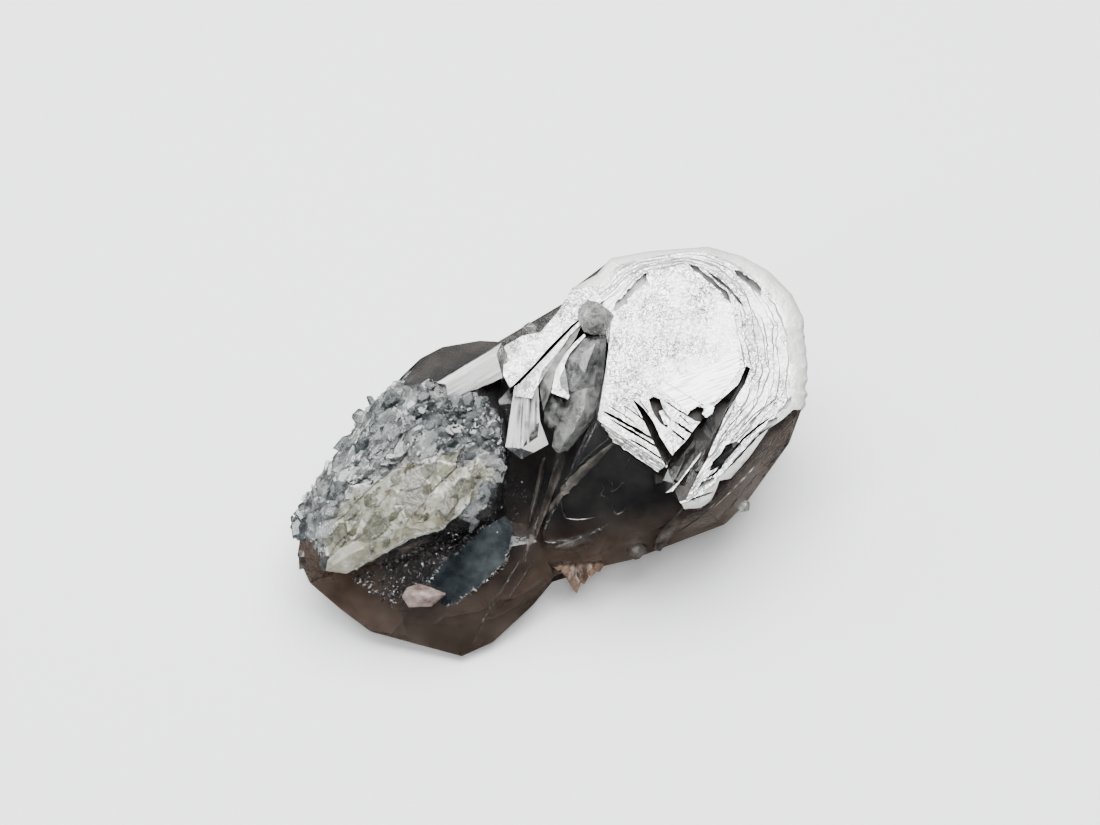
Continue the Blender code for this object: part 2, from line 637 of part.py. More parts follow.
def far_side():
    """Broad prism faces on the back, so that it is as much crystal as the front."""
    blocks = (
        ((10.5, 6.3, -9.9), (11.2, 10.0, 1.0), 4.8, 4.4, 0.25),
        ((6.0, 6.5, -9.9), (6.2, 10.6, -0.6), 4.6, 4.4, 0.30),
        ((12.9, 3.4, -9.9), (14.1, 5.2, -1.6), 3.6, 3.8, 0.30),
        ((2.0, 5.5, -9.9), (2.0, 9.2, -2.4), 4.2, 4.0, 0.30),
        ((-2.4, 4.0, -9.9), (-2.4, 7.0, -3.4), 4.6, 4.2, 0.35),
        ((-6.6, 3.0, -9.9), (-6.8, 6.0, -3.8), 4.4, 4.0, 0.35),
        ((-10.4, 0.4, -9.9), (-10.9, 3.2, -5.4), 3.6, 3.8, 0.40),
        ((4.2, 8.0, -9.9), (4.2, 10.4, -6.0), 2.4, 2.4, 0.45),
        ((8.7, 8.2, -9.9), (8.9, 11.0, -5.6), 2.7, 2.6, 0.40),
        ((-4.4, 5.4, -9.9), (-4.6, 7.6, -6.6), 2.3, 2.2, 0.45),
        ((-8.8, 3.6, -9.9), (-9.0, 5.4, -7.2), 1.9, 1.9, 0.50),
    )
    made = []
    for i, (foot, tip, width, thickness, share) in enumerate(blocks):
        ends = hidden(*foot), hidden(*tip)
        made.append(prism(f"back crystal {i}", *ends, width, thickness, share, 0.35 + 0.5 * i))
    return made


# ---- the whole ----
def stand_up(cluster):
    """Cuts the cluster flat underneath, and turns it to stand on the cut, centred, in metres."""
    upward = Vector((0.0, UP_COS, UP_SIN))
    turn = math.radians(LAYOUT_TURN)
    across = Vector((math.cos(turn), math.sin(turn), 0.0))
    back = Vector((-math.sin(turn), math.cos(turn), 0.0))
    up = back * UP_SIN + Vector((0.0, 0.0, UP_COS))
    near = Vector((0.0, 0.0, UP_SIN)) - back * UP_COS
    ground = slab("ground", [(-40, -60, 0), (40, -60, 0), (40, 60, 0), (-40, 60, 0)], 40.0)
    ground.data.transform(upward.to_track_quat("Z", "X").to_matrix().to_4x4())
    ground.data.transform(Matrix.Translation(upward * BASE_HEIGHT))
    boolean(cluster, [ground], "DIFFERENCE")
    cluster.data.transform(Matrix((across, up, near)).transposed().to_4x4())
    corners = [vertex.co for vertex in cluster.data.vertices]
    middle = [
        (min(corner[axis] for corner in corners) + max(corner[axis] for corner in corners)) / 2
        for axis in (0, 1)
    ]
    low = min(corner[2] for corner in corners)
    print("layout origin, mm:", [round(-side, 3) for side in (*middle, low)])
    cluster.data.transform(Matrix.Translation((-middle[0], -middle[1], -low)))
    cluster.data.transform(Matrix.Scale(MM, 4))


def smoky_quartz():
    material = bpy.data.materials.new("smoky quartz")
    material.use_nodes = True
    shader = material.node_tree.nodes["Principled BSDF"]
    shader.inputs["Base Color"].default_value = (0.13, 0.11, 0.095, 1.0)
    shader.inputs["Roughness"].default_value = 0.18
    shader.inputs["Metallic"].default_value = 0.0
    return material


def main():
    for thing in list(bpy.data.objects):
        bpy.data.objects.remove(thing, do_unlink=True)
    cluster = smoky_body()
    boolean(cluster, far_side(), "UNION")
    boolean(cluster, [*terraces(), *front_strips()], "UNION")
    boolean(cluster, notch_cutters(), "DIFFERENCE")
    boolean(cluster, [valley_floor(), left_body(), lower_prism(), blue_panel()], "UNION")
    boolean(cluster, [cream_patch(), *white_plates(), *valley_crystals(), *edge_crystals()], "UNION")
    surface = surface_of(cluster)
    growth = scatter(surface, 5, 8, SPARKLE_REGION, (0.4, 0.7))
    growth += scatter(surface, 6, 14, SADDLE_REGION, (0.5, 0.9))
    growth += scatter(surface, 8, 6, RIDGE_REGION, (0.35, 0.6))
    boolean(cluster, growth, "UNION")
    drop_specks(cluster)
    stand_up(cluster)
    cluster.name = "quartz_cluster"
    cluster.data.materials.clear()
    cluster.data.materials.append(smoky_quartz())
    cluster.hide_render = False


main()
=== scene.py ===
"""Looks of the quartz with hedenbergite: one intergrown cluster of smoky quartz crystals.

Every piece is laid out in millimetres across (to the right), up and near, as seen from the front and
55 degrees above the ground. At the end it is turned to its place in the frame.
"""

import math
import random
from itertools import islice

import bmesh
import bpy
from mathutils import Matrix, Vector, noise
from mathutils.bvhtree import BVHTree


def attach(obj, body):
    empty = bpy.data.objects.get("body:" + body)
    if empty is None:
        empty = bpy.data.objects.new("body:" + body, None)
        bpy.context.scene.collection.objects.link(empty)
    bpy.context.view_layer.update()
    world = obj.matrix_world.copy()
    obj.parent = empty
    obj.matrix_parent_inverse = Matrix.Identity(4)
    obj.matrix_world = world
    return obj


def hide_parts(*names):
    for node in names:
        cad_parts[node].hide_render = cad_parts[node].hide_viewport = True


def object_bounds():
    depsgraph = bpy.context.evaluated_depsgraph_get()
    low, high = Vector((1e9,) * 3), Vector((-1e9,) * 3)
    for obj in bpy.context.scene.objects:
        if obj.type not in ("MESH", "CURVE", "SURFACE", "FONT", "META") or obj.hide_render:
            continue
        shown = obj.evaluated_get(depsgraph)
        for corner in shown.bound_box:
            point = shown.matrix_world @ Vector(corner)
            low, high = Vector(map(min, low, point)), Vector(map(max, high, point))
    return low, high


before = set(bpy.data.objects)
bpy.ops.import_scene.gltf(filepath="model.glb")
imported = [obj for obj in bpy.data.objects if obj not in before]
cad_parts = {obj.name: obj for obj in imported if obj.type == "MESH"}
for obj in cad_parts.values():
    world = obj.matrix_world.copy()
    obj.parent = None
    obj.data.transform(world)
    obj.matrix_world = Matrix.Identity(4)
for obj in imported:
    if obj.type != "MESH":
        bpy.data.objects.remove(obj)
CAD_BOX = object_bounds()

# ---- the layout frame ----
MM = 0.001
LAYOUT_ELEVATION = 55.0  # the near axis points this far above the ground, in degrees
LAYOUT_TURN = -24.0  # and this far round from the front
LAYOUT_ORIGIN = (0.575, 0.54, 9.3)  # where the layout's origin stands in the frame, in millimetres
BASE_HEIGHT = -9.3  # the flat cut's height, measured up from the layout origin

SILVER_POINT = (6.9, 3.9, 4.0)  # the large flat face: a point on it and its outward direction
SILVER_NORMAL = (0.12, 0.30, 0.946)

UP_SIN = math.sin(math.radians(LAYOUT_ELEVATION))
UP_COS = math.cos(math.radians(LAYOUT_ELEVATION))


def standing():
    """The matrix from the layout, in millimetres, to the frame, in metres."""
    turn = math.radians(LAYOUT_TURN)
    across = Vector((math.cos(turn), math.sin(turn), 0.0))
    back = Vector((-math.sin(turn), math.cos(turn), 0.0))
    up = back * UP_SIN + Vector((0.0, 0.0, UP_COS))
    near = Vector((0.0, 0.0, UP_SIN)) - back * UP_COS
    turned = Matrix((across, up, near)).transposed().to_4x4()
    shift = Matrix.Translation(LAYOUT_ORIGIN)
    return Matrix.Scale(MM, 4) @ shift @ turned


STANDING = standing()


def hidden(across, back, height):
    """A layout point given by its distance back from the front and its height, for the far side."""
    return Vector((across, back * UP_SIN + height * UP_COS, height * UP_SIN - back * UP_COS))


def all_hidden(*places):
    return [hidden(*place) for place in places]


def near_on(point, normal, across, up):
    """How near the plane through point is at that place across and up."""
    px, py, pz = point
    nx, ny, nz = normal
    return pz - (nx * (across - px) + ny * (up - py)) / nz


def on_silver(across, up, drop=0.0):
    return Vector((across, up, near_on(SILVER_POINT, SILVER_NORMAL, across, up) - drop))


def all_on_silver(places, drop=0.0):
    return [on_silver(x, y, drop) for x, y in places]


def along(path, share):
    """The point at that share of the path's length."""
    points = [Vector(point) for point in path]
    lengths = [(b - a).length for a, b in zip(points, points[1:])]
    left = share * sum(lengths)
    for a, b, length in zip(points, points[1:], lengths):
        if left <= length:
            return a.lerp(b, left / length)
        left -= length
    return points[-1]


def path_length(path):
    return sum((Vector(b) - Vector(a)).length for a, b in zip(path, path[1:]))


def facet(a, b, c):
    """The plane through three corners, as a point and its direction."""
    a, b, c = Vector(a), Vector(b), Vector(c)
    return a, (b - a).cross(c - a).normalized()


def on_facet(plane, *places):
    return [Vector((x, y, near_on(*plane, x, y))) for x, y in places]


def inside(region, x, y):
    """Whether the place lies inside the region's outline."""
    crossings = 0
    for (ax, ay), (bx, by) in zip(region, region[1:] + region[:1]):
        if (ay > y) != (by > y) and x < ax + (y - ay) / (by - ay) * (bx - ax):
            crossings += 1
    return crossings % 2 == 1


def within(region, x, y):
    """How far inside the region's outline the place lies, and outside it how far less than zero."""
    place = Vector((x, y))
    nearest = 1e9
    for start, end in zip(region, region[1:] + region[:1]):
        start, way = Vector(start), Vector(end) - Vector(start)
        share = max(0.0, min(1.0, (place - start).dot(way) / way.length_squared))
        nearest = min(nearest, (place - start - way * share).length)
    return nearest if inside(region, x, y) else -nearest


def eased(low, high, value):
    """A smooth step from 0 at low to 1 at high."""
    share = max(0.0, min(1.0, (value - low) / (high - low)))
    return share * share * (3.0 - 2.0 * share)


# ---- closed shapes ----
def put(name, data):
    """A new object of the scene that shows this data."""
    made = bpy.data.objects.new(name, data)
    bpy.context.scene.collection.objects.link(made)
    return made


def new_object(name, build):
    """An object whose mesh the function build makes in a bmesh, with its faces turned outwards."""
    shape = bmesh.new()
    build(shape)
    bmesh.ops.recalc_face_normals(shape, faces=shape.faces)
    mesh = bpy.data.meshes.new(name)
    shape.to_mesh(mesh)
    shape.free()
    return put(name, mesh)


def span(shape, points, layer=None, tone=0.0):
    """Adds the convex crystal that these corners span, and notes its tone in the layer."""
    corners = [shape.verts.new(point) for point in points]
    if layer is not None:
        for corner in corners:
            corner[layer] = tone
    made = bmesh.ops.convex_hull(shape, input=corners)
    inner = {*made["geom_interior"], *made["geom_unused"]}
    loose = [part for part in inner if isinstance(part, bmesh.types.BMVert)]
    bmesh.ops.delete(shape, geom=loose, context="VERTS")


def hull(name, points):
    return new_object(name, lambda shape: span(shape, points))


def many_hulls(name, groups, seed):
    """One object of many small convex crystals, each with a tone of its own for its material."""
    dice = random.Random(seed)

    def build(shape):
        layer = shape.verts.layers.float.new("tone")
        for points in groups:
            span(shape, points, layer, dice.random() ** 2)

    return new_object(name, build)


def slab(name, outline, thickness, flare=0.0):
    """A plate below the outline's points, its wall leaning out by flare at the bottom."""
    points = [Vector(point) for point in outline]
    middle = sum(points, Vector()) / len(points)
    down = Vector((0.0, 0.0, -thickness))

    def build(shape):
        top = [shape.verts.new(point) for point in points]
        low = []
        for point in points:
            out = (point - middle) * Vector((1.0, 1.0, 0.0))
            low.append(shape.verts.new(point + down + out.normalized() * flare))
        shape.faces.new(top)
        shape.faces.new(reversed(low))
        for i, corner in enumerate(top):
            after = (i + 1) % len(top)
            shape.faces.new((corner, low[i], low[after], top[after]))
        bmesh.ops.triangulate(shape, faces=[face for face in shape.faces if len(face.verts) > 4])

    return new_object(name, build)


def loft(name, loops, kinds=None):
    """A closed surface through loops of equally many points; kinds are the face slots between them."""

    def build(shape):
        rings = [[shape.verts.new(point) for point in points] for points in loops]
        ends = [shape.faces.new(rings[0]), shape.faces.new(reversed(rings[-1]))]
        for level, (upper, lower) in enumerate(zip(rings, rings[1:])):
            for i, corner in enumerate(upper):
                after = (i + 1) % len(upper)
                made = shape.faces.new((corner, lower[i], lower[after], upper[after]))
                made.material_index = kinds[level] if kinds else 0
        bmesh.ops.triangulate(shape, faces=ends)

    return new_object(name, build)


def prism_corners(foot, tip, width, thickness, point_share=0.3, roll=0.0):
    """The corners of a six-sided crystal from foot to its pointed tip."""
    foot, tip = Vector(foot), Vector(tip)
    axis = (tip - foot).normalized()
    turn = axis.to_track_quat("Z", "Y").to_matrix() @ Matrix.Rotation(roll, 3, "Z")
    length = (tip - foot).length
    corners = []
    for side in range(6):
        angle = math.tau * side / 6
        ring = Vector((math.cos(angle) * width / 2, math.sin(angle) * thickness / 2, 0.0))
        shoulder = length * (1.0 - point_share * (0.75 + 0.5 * (side % 2)))
        corners.append(foot + turn @ ring)
        corners.append(foot + turn @ (ring + Vector((0.0, 0.0, shoulder))))
    return [*corners, tip]


def prism(name, *measures):
    return hull(name, prism_corners(*measures))


# ---- joining and finishing ----
BEVEL_ANGLE = 18.0  # edges sharper than this are bevelled, in degrees


def drop_object(thing):
    bpy.data.objects.remove(thing, do_unlink=True)


def changed(thing, kind, **settings):
    """Replaces the object's mesh by what a modifier of this kind makes of it."""
    change = thing.modifiers.new(kind, kind)
    for name, value in settings.items():
        setattr(change, name, value)
    graph = bpy.context.evaluated_depsgraph_get()
    mesh = bpy.data.meshes.new_from_object(thing.evaluated_get(graph))
    thing.modifiers.clear()
    thing.data = mesh
    return thing


def boolean(base, others, operation):
    """Joins the others to the base, or cuts them from it, one after another."""
    for other in others:
        changed(base, "BOOLEAN", operation=operation, solver="MANIFOLD", object=other)
        drop_object(other)
    return base


def bevelled(thing, width, segments=2):
    limit = {"limit_method": "ANGLE", "angle_limit": math.radians(BEVEL_ANGLE), "loop_slide": False}
    return changed(thing, "BEVEL", width=width, segments=segments, **limit)


def surface_of(thing):
    shape = bmesh.new()
    shape.from_mesh(thing.data)
    tree = BVHTree.FromBMesh(shape)
    shape.free()
    return tree


def joined(name, things):
    """One object of several, their surfaces left as they are."""
    shape = bmesh.new()
    for thing in things:
        shape.from_mesh(thing.data)
        drop_object(thing)
    mesh = bpy.data.meshes.new(name)
    shape.to_mesh(mesh)
    shape.free()
    return put(name, mesh)


def dress(thing, materials, face_slot=None):
    """Puts the materials in the mesh's slots, and all faces in one slot if face_slot says which."""
    slots = thing.data.materials
    for i, material in enumerate(materials):
        if i < len(slots):
            slots[i] = material
        else:
            slots.append(material)
    if face_slot is not None:
        for face in thing.data.polygons:
            face.material_index = face_slot
    return thing


def stand(thing, slot, *materials, smooth_below=None):
    thing.name = thing.name.replace(" ", "_")
    thing.data.transform(STANDING)
    low, high = CAD_BOX
    for vertex in thing.data.vertices:  # what would stand past the solid's box is pressed flat against it
        vertex.co = [min(max(c, a), b) for c, a, b in zip(vertex.co, low, high)]
    dress(thing, materials)
    if smooth_below is not None:
        thing.data.shade_smooth()
        thing.data.set_sharp_from_angle(angle=math.radians(smooth_below))
    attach(thing, "root")
    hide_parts("quartz_cluster")
    return thing


# ---- materials ----
QUARTZ_IOR = 1.54


class Nodes:
    """A node tree with short calls for what the materials here use."""

    def __init__(self, name):
        self.material = bpy.data.materials.new(name)
        self.material.use_nodes = True
        self.tree = self.material.node_tree
        self.shader = self.tree.nodes["Principled BSDF"]
        self.place = self.tree.nodes.new("ShaderNodeTexCoord").outputs["Object"]

    def fill(self, node, values):
        """Links each named input of the node to its socket, or sets it to its value."""
        for name, value in values.items():
            socket = node.inputs[name.replace("_", " ")]
            if isinstance(value, bpy.types.NodeSocket):
                self.tree.links.new(value, socket)
            else:
                socket.default_value = value

    def add(self, kind, **values):
        node = self.tree.nodes.new("ShaderNode" + kind)
        self.fill(node, values)
        return node

    def made(self, **values):
        self.fill(self.shader, values)
        return self.material

    def noise(self, per_mm, detail=4.0, rough=0.55, distort=0.0, place=None):
        inputs = {"Scale": per_mm / MM, "Detail": detail, "Roughness": rough, "Distortion": distort}
        return self.add("TexNoise", Vector=place or self.place, **inputs).outputs["Fac"]

    def ramp(self, source, *stops):
        """A colour ramp over the source, from (place, colour) stops."""
        node = self.add("ValToRGB", Fac=source)
        band = node.color_ramp
        while len(band.elements) < len(stops):
            band.elements.new(0.5)
        for element, (place, colour) in zip(band.elements, stops):
            element.position = place
            element.color = (*colour, 1.0)
        return node.outputs["Color"]

    def grey(self, source, *stops):
        return self.ramp(source, *[(place, (value,) * 3) for place, value in stops])

    def mix(self, share, first, second):
        node = self.tree.nodes.new("ShaderNodeMix")
        node.data_type = "RGBA"
        for socket, value in ((node.inputs[0], share), (node.inputs[6], first), (node.inputs[7], second)):
            if isinstance(value, bpy.types.NodeSocket):
                self.tree.links.new(value, socket)
            else:
                socket.default_value = (*value, 1.0)
        return node.outputs[2]

    def towards(self, way, low, high):
        """From 0 to 1 as the place's measure along the direction goes from low to high, in millimetres."""
        measure = self.tree.nodes.new("ShaderNodeVectorMath")
        measure.operation = "DOT_PRODUCT"
        measure.inputs[1].default_value = way
        self.tree.links.new(self.place, measure.inputs[0])
        limits = {"From_Min": low * MM, "From_Max": high * MM}
        return self.add("MapRange", Value=measure.outputs["Value"], **limits).outputs["Result"]

    def attribute(self, name):
        node = self.add("Attribute")
        node.attribute_name = name
        return node.outputs["Fac"]

    def bump(self, source, height, **after):
        return self.add("Bump", Distance=height * MM, Strength=1.0, Height=source, **after).outputs["Normal"]

    def absorb(self, colour, per_metre):
        node = self.add("VolumeAbsorption", Color=(*colour, 1.0), Density=per_metre)
        output = next(n for n in self.tree.nodes if n.type == "OUTPUT_MATERIAL")
        self.fill(output, {"Volume": node.outputs[0]})


def smoky_quartz():
    """Dark glassy quartz, browner towards its foot and left end and paler brown on its right side: painted light
    standing in for light coming through its thin edges. Paler brown on the far side.
    """
    nodes = Nodes("smoky quartz")
    haze = nodes.noise(0.35, 7.0, 0.6)
    black = nodes.ramp(haze, (0.35, (0.035, 0.038, 0.042)), (0.68, (0.12, 0.12, 0.12)))
    # painted light: brown, the foot's colour, and side, the right side's paler brown, stand in for light coming
    # through thin quartz
    brown = nodes.ramp(haze, (0.32, (0.15, 0.108, 0.083)), (0.68, (0.44, 0.34, 0.28)))
    side = nodes.ramp(haze, (0.32, (0.42, 0.33, 0.28)), (0.68, (0.88, 0.76, 0.69)))
    brown = nodes.mix(nodes.towards((1.0, 0.0, 0.0), 4.0, 9.0), brown, side)
    far = nodes.ramp(haze, (0.32, (0.12, 0.105, 0.095)), (0.68, (0.40, 0.36, 0.33)))
    # darkest where the layout comes nearest, brown towards the foot and the left end: painted light
    front = nodes.mix(nodes.towards((-0.3, 0.0, 1.0), 5.6, 8.4), brown, black)
    front = nodes.mix(nodes.towards((1.0, 0.0, 0.0), -15.0, -12.0), brown, front)
    broad = nodes.bump(nodes.noise(0.7, 2.0), 0.08)
    nodes.absorb((0.42, 0.28, 0.2), 500.0)
    return nodes.made(
        IOR=QUARTZ_IOR,
        Transmission_Weight=0.85,
        Base_Color=nodes.mix(nodes.towards((0.0, 1.0, 0.0), 3.0, 6.5), front, far),
        Roughness=nodes.grey(haze, (0.35, 0.04), (0.65, 0.16)),
        Normal=nodes.bump(nodes.noise(3.5, 5.0, 0.6), 0.022, Normal=broad),
    )


def dark_panel():
    """The smooth bluish-black facet below the crust, paler towards its lower right: a painted reflection."""
    nodes = Nodes("dark panel")
    haze = nodes.noise(0.9, 6.0, 0.6)
    dark = nodes.ramp(haze, (0.4, (0.008, 0.011, 0.014)), (0.7, (0.025, 0.031, 0.035)))
    pale = nodes.ramp(haze, (0.35, (0.018, 0.023, 0.026)), (0.65, (0.065, 0.076, 0.08)))
    return nodes.made(
        IOR=QUARTZ_IOR,
        Roughness=0.2,
        # the paler lower right is a painted reflection
        Base_Color=nodes.mix(nodes.towards((0.77, -0.61, -0.17), -4.2, -1.9), dark, pale),
        Normal=nodes.bump(nodes.noise(2.5), 0.04),
    )


def pearly_face():
    """The silver-white face, its white partly a painted reflection of the light above, with a grey speckle of
    small etch marks.
    """
    nodes = Nodes("pearly face")
    marks = nodes.noise(4.6, 4.0, 0.6, 1.4)
    worms = nodes.grey(marks, (0.44, 0.0), (0.475, 1.0), (0.5, 1.0), (0.54, 0.0))
    where = nodes.grey(nodes.noise(0.45), (0.4, 0.15), (0.58, 1.0))
    speckle = nodes.mix(where, (0.0, 0.0, 0.0), worms)
    # cloud: the near-white of the face, partly a painted reflection of the light above
    cloud = nodes.ramp(nodes.noise(0.8, 6.0), (0.36, (0.76, 0.78, 0.76)), (0.44, (0.99, 0.99, 0.98)))
    return nodes.made(
        Metallic=0.4,
        Coat_Weight=0.3,
        Coat_Roughness=0.08,
        Base_Color=nodes.mix(speckle, cloud, (0.14, 0.155, 0.15)),
        Roughness=nodes.grey(marks, (0.3, 0.16), (0.7, 0.3)),
        Normal=nodes.bump(speckle, -0.03),
    )


def satin_reflecting_face():
    """A smoother, finely striated part of the silver-white face, its white partly a painted reflection of the
    light above.
    """
    nodes = Nodes("satin face")
    turned = {"Rotation": (0.0, 0.0, math.radians(-10.0)), "Scale": (0.25, 3.0, 3.0)}
    spread = nodes.add("Mapping", Vector=nodes.place, **turned)
    lines = nodes.noise(2.2, 3.0, place=spread.outputs["Vector"])
    return nodes.made(
        Metallic=0.4,
        Coat_Weight=0.4,
        Coat_Roughness=0.06,
        Base_Color=nodes.ramp(lines, (0.38, (0.55, 0.57, 0.56)), (0.5, (0.93, 0.94, 0.93))),
        Roughness=nodes.grey(lines, (0.3, 0.12), (0.7, 0.25)),
        Normal=nodes.bump(lines, 0.05),
    )


def ledge_wall():
    """The walls of the growth ledges: a thin grey line round each."""
    nodes = Nodes("ledge wall")
    shade = nodes.ramp(nodes.noise(1.3), (0.35, (0.2, 0.2, 0.19)), (0.65, (0.55, 0.56, 0.55)))
    return nodes.made(Roughness=0.3, Base_Color=shade)


def hazy(name, haze, colours, roughness, relief, height, **sockets):
    """A material whose colour and roughness follow one noise, and its relief another."""
    nodes = Nodes(name)
    cloud = nodes.noise(*haze)
    return nodes.made(
        Base_Color=nodes.ramp(cloud, *colours),
        Roughness=nodes.grey(cloud, *roughness),
        Normal=nodes.bump(nodes.noise(*relief), height),
        **sockets,
    )


def milky_rim():
    """The smooth rounded rim, milky and faintly yellow."""
    colours = (0.32, (0.88, 0.87, 0.80)), (0.5, (0.98, 0.98, 0.95))
    lustre = {"Metallic": 0.3, "Coat_Weight": 0.3, "Coat_Roughness": 0.15}
    return hazy("milky rim", (0.5, 5.0), colours, ((0.3, 0.2), (0.7, 0.4)), (1.6, 7.0, 0.65), 0.14, **lustre)


def dark_riser():
    """The smoky crystal where it shows in the notch, the gaps and the dark specks."""
    nodes = Nodes("dark riser")
    colour = nodes.ramp(nodes.noise(1.5), (0.35, (0.010, 0.008, 0.007)), (0.7, (0.045, 0.036, 0.03)))
    bump = nodes.bump(nodes.noise(5.0), 0.02)
    return nodes.made(Roughness=0.35, Specular_IOR_Level=0.2, Base_Color=colour, Normal=bump)


def pale_crust():
    """The crust: glassy plates, cream in the patch and dark in the saddle, with painted highlights on their
    crests and painted shade in their hollows.
    """
    nodes = Nodes("pale crust")
    cloud = nodes.noise(0.6, 9.0, 0.68)
    grey = (0.36, (0.03, 0.033, 0.034)), (0.5, (0.14, 0.145, 0.14)), (0.64, (0.42, 0.43, 0.415))
    cream = (0.36, (0.15, 0.14, 0.085)), (0.5, (0.26, 0.25, 0.175)), (0.64, (0.44, 0.435, 0.35))
    dark = (0.38, (0.008, 0.012, 0.016)), (0.55, (0.03, 0.038, 0.043)), (0.68, (0.22, 0.24, 0.245))
    cream = nodes.ramp(nodes.noise(0.75, distort=0.6), *cream)
    base = nodes.mix(nodes.attribute("cream"), nodes.ramp(cloud, *grey), cream)
    base = nodes.mix(nodes.attribute("saddle"), base, nodes.ramp(cloud, *dark))
    tone, crest = nodes.attribute("tone"), nodes.attribute("crest")
    toned = nodes.mix(nodes.grey(tone, (0.5, 0.0), (1.0, 0.4)), base, (0.62, 0.64, 0.62))
    deep = nodes.mix(nodes.grey(tone, (0.0, 0.5), (0.4, 0.0)), toned, (0.025, 0.028, 0.03))
    # painted shade: the hollows between the plates are darkened
    hollow = nodes.mix(nodes.grey(crest, (0.15, 0.85), (0.45, 0.0)), deep, (0.012, 0.012, 0.012))
    relief = nodes.mix(nodes.attribute("cream"), nodes.noise(2.6, 7.0, 0.62), nodes.noise(1.1, 3.0))
    return nodes.made(
        Coat_Weight=0.9,
        Coat_Roughness=0.04,
        IOR=QUARTZ_IOR,
        Transmission_Weight=0.25,
        # painted highlight: the crests are brightened
        Base_Color=nodes.mix(nodes.grey(crest, (0.55, 0.0), (0.85, 0.7)), hollow, (0.78, 0.8, 0.78)),
        Roughness=nodes.grey(nodes.noise(2.0), (0.35, 0.08), (0.65, 0.35)),
        Normal=nodes.bump(relief, 0.14),
    )


def icy(name, deep, pale, clear):
    """A small translucent crystal, each with a tone of its own and hazy patches."""
    nodes = Nodes(name)
    haze = nodes.noise(1.1, 6.0, 0.6)
    tone = nodes.mix(nodes.attribute("tone"), deep, pale)
    return nodes.made(
        Coat_Weight=0.6,
        Coat_Roughness=0.04,
        IOR=QUARTZ_IOR,
        Transmission_Weight=clear,
        Base_Color=nodes.mix(nodes.grey(haze, (0.45, 0.0), (0.68, 0.6)), tone, pale),
        Roughness=nodes.grey(haze, (0.35, 0.06), (0.7, 0.3)),
        Normal=nodes.bump(nodes.noise(3.0), 0.05),
    )


def grey_quartz():
    """The sides of the pale crystals, where they don't catch the light."""
    colours = (0.3, (0.05, 0.05, 0.048)), (0.7, (0.24, 0.24, 0.23))
    lustre = {"Coat_Weight": 0.5, "Coat_Roughness": 0.05, "IOR": QUARTZ_IOR}
    return hazy("grey quartz", (1.2, 5.0), colours, ((0.3, 0.08), (0.7, 0.3)), (3.0,), 0.05, **lustre)


def clear_quartz(name, *tones):
    """Clear quartz with hazy clouds of three tones and bright broken veils inside."""
    nodes = Nodes(name)
    haze = nodes.noise(0.8, 8.0, 0.65, 0.9)
    veil = nodes.grey(nodes.noise(1.4, 5.0, distort=1.5), (0.47, 0.0), (0.5, 0.8), (0.53, 0.0))
    clouds = nodes.ramp(haze, *zip((0.4, 0.52, 0.64), tones))
    nodes.absorb((0.6, 0.61, 0.57), 160.0)
    return nodes.made(
        IOR=QUARTZ_IOR,
        Transmission_Weight=0.78,
        Coat_Weight=0.6,
        Coat_Roughness=0.02,
        Base_Color=nodes.mix(veil, clouds, (0.98, 0.98, 0.96)),
        Roughness=nodes.grey(haze, (0.35, 0.03), (0.7, 0.25)),
        Normal=nodes.bump(nodes.noise(1.2, 6.0), 0.3),
    )


def tinted_quartz(name, low, high):
    """A crystal partly clear, partly hazy in its own tint."""
    colours, roughness = ((0.35, low), (0.65, high)), ((0.35, 0.08), (0.7, 0.35))
    clear = {"IOR": QUARTZ_IOR, "Transmission_Weight": 0.5}
    return hazy(name, (1.0, 6.0), colours, roughness, (2.5, 5.0), 0.08, **clear)


SMOKY = smoky_quartz()
PANEL = dark_panel()
PEARLY_REFLECTION = pearly_face()
SATIN_REFLECTION = satin_reflecting_face()
RISER = dark_riser()
LEDGE = ledge_wall()
RIM = milky_rim()
GREY = grey_quartz()
# the lit copy for facets turned to the light: painted light
LIT_WHITE = icy("white quartz lit facets", (0.75, 0.76, 0.73), (0.92, 0.93, 0.9), 0.15)
BROWN = tinted_quartz("brown quartz", (0.10, 0.06, 0.04), (0.36, 0.24, 0.17))
PINK = tinted_quartz("pinkish quartz", (0.22, 0.15, 0.13), (0.7, 0.58, 0.53))
WEDGE = icy("wedge quartz", (0.015, 0.013, 0.011), (0.13, 0.115, 0.10), 0.4)
RIDGE = icy("ridge quartz", (0.10, 0.095, 0.09), (0.48, 0.46, 0.44), 0.8)
CRUST = pale_crust()
ICE = icy("icy quartz", (0.07, 0.085, 0.09), (0.80, 0.83, 0.83), 0.72)
CREAM_ICE = icy("cream ice", (0.24, 0.23, 0.16), (0.72, 0.72, 0.63), 0.85)
SPARKLE = icy("dark sparkle", (0.02, 0.017, 0.018), (0.18, 0.165, 0.165), 0.5)
SPLINTER = icy("pale splinter", (0.25, 0.25, 0.25), (0.9, 0.9, 0.88), 0.6)
DARK_ICE = icy("dark ice", (0.010, 0.014, 0.018), (0.38, 0.40, 0.41), 0.6)
CLEAR = clear_quartz("clear quartz", (0.06, 0.065, 0.065), (0.33, 0.34, 0.33), (0.9, 0.91, 0.89))
PALE_CLEAR = clear_quartz("pale clear quartz", (0.22, 0.23, 0.21), (0.62, 0.63, 0.60), (0.98, 0.98, 0.96))
STREAKED = icy("streaked quartz", (0.06, 0.065, 0.065), (0.96, 0.96, 0.94), 0.35)
TIP = icy("cream tip", (0.42, 0.40, 0.31), (0.95, 0.94, 0.88), 0.55)
SMOKY_CHIP = tinted_quartz("smoky chip", (0.03, 0.026, 0.023), (0.2, 0.175, 0.155))


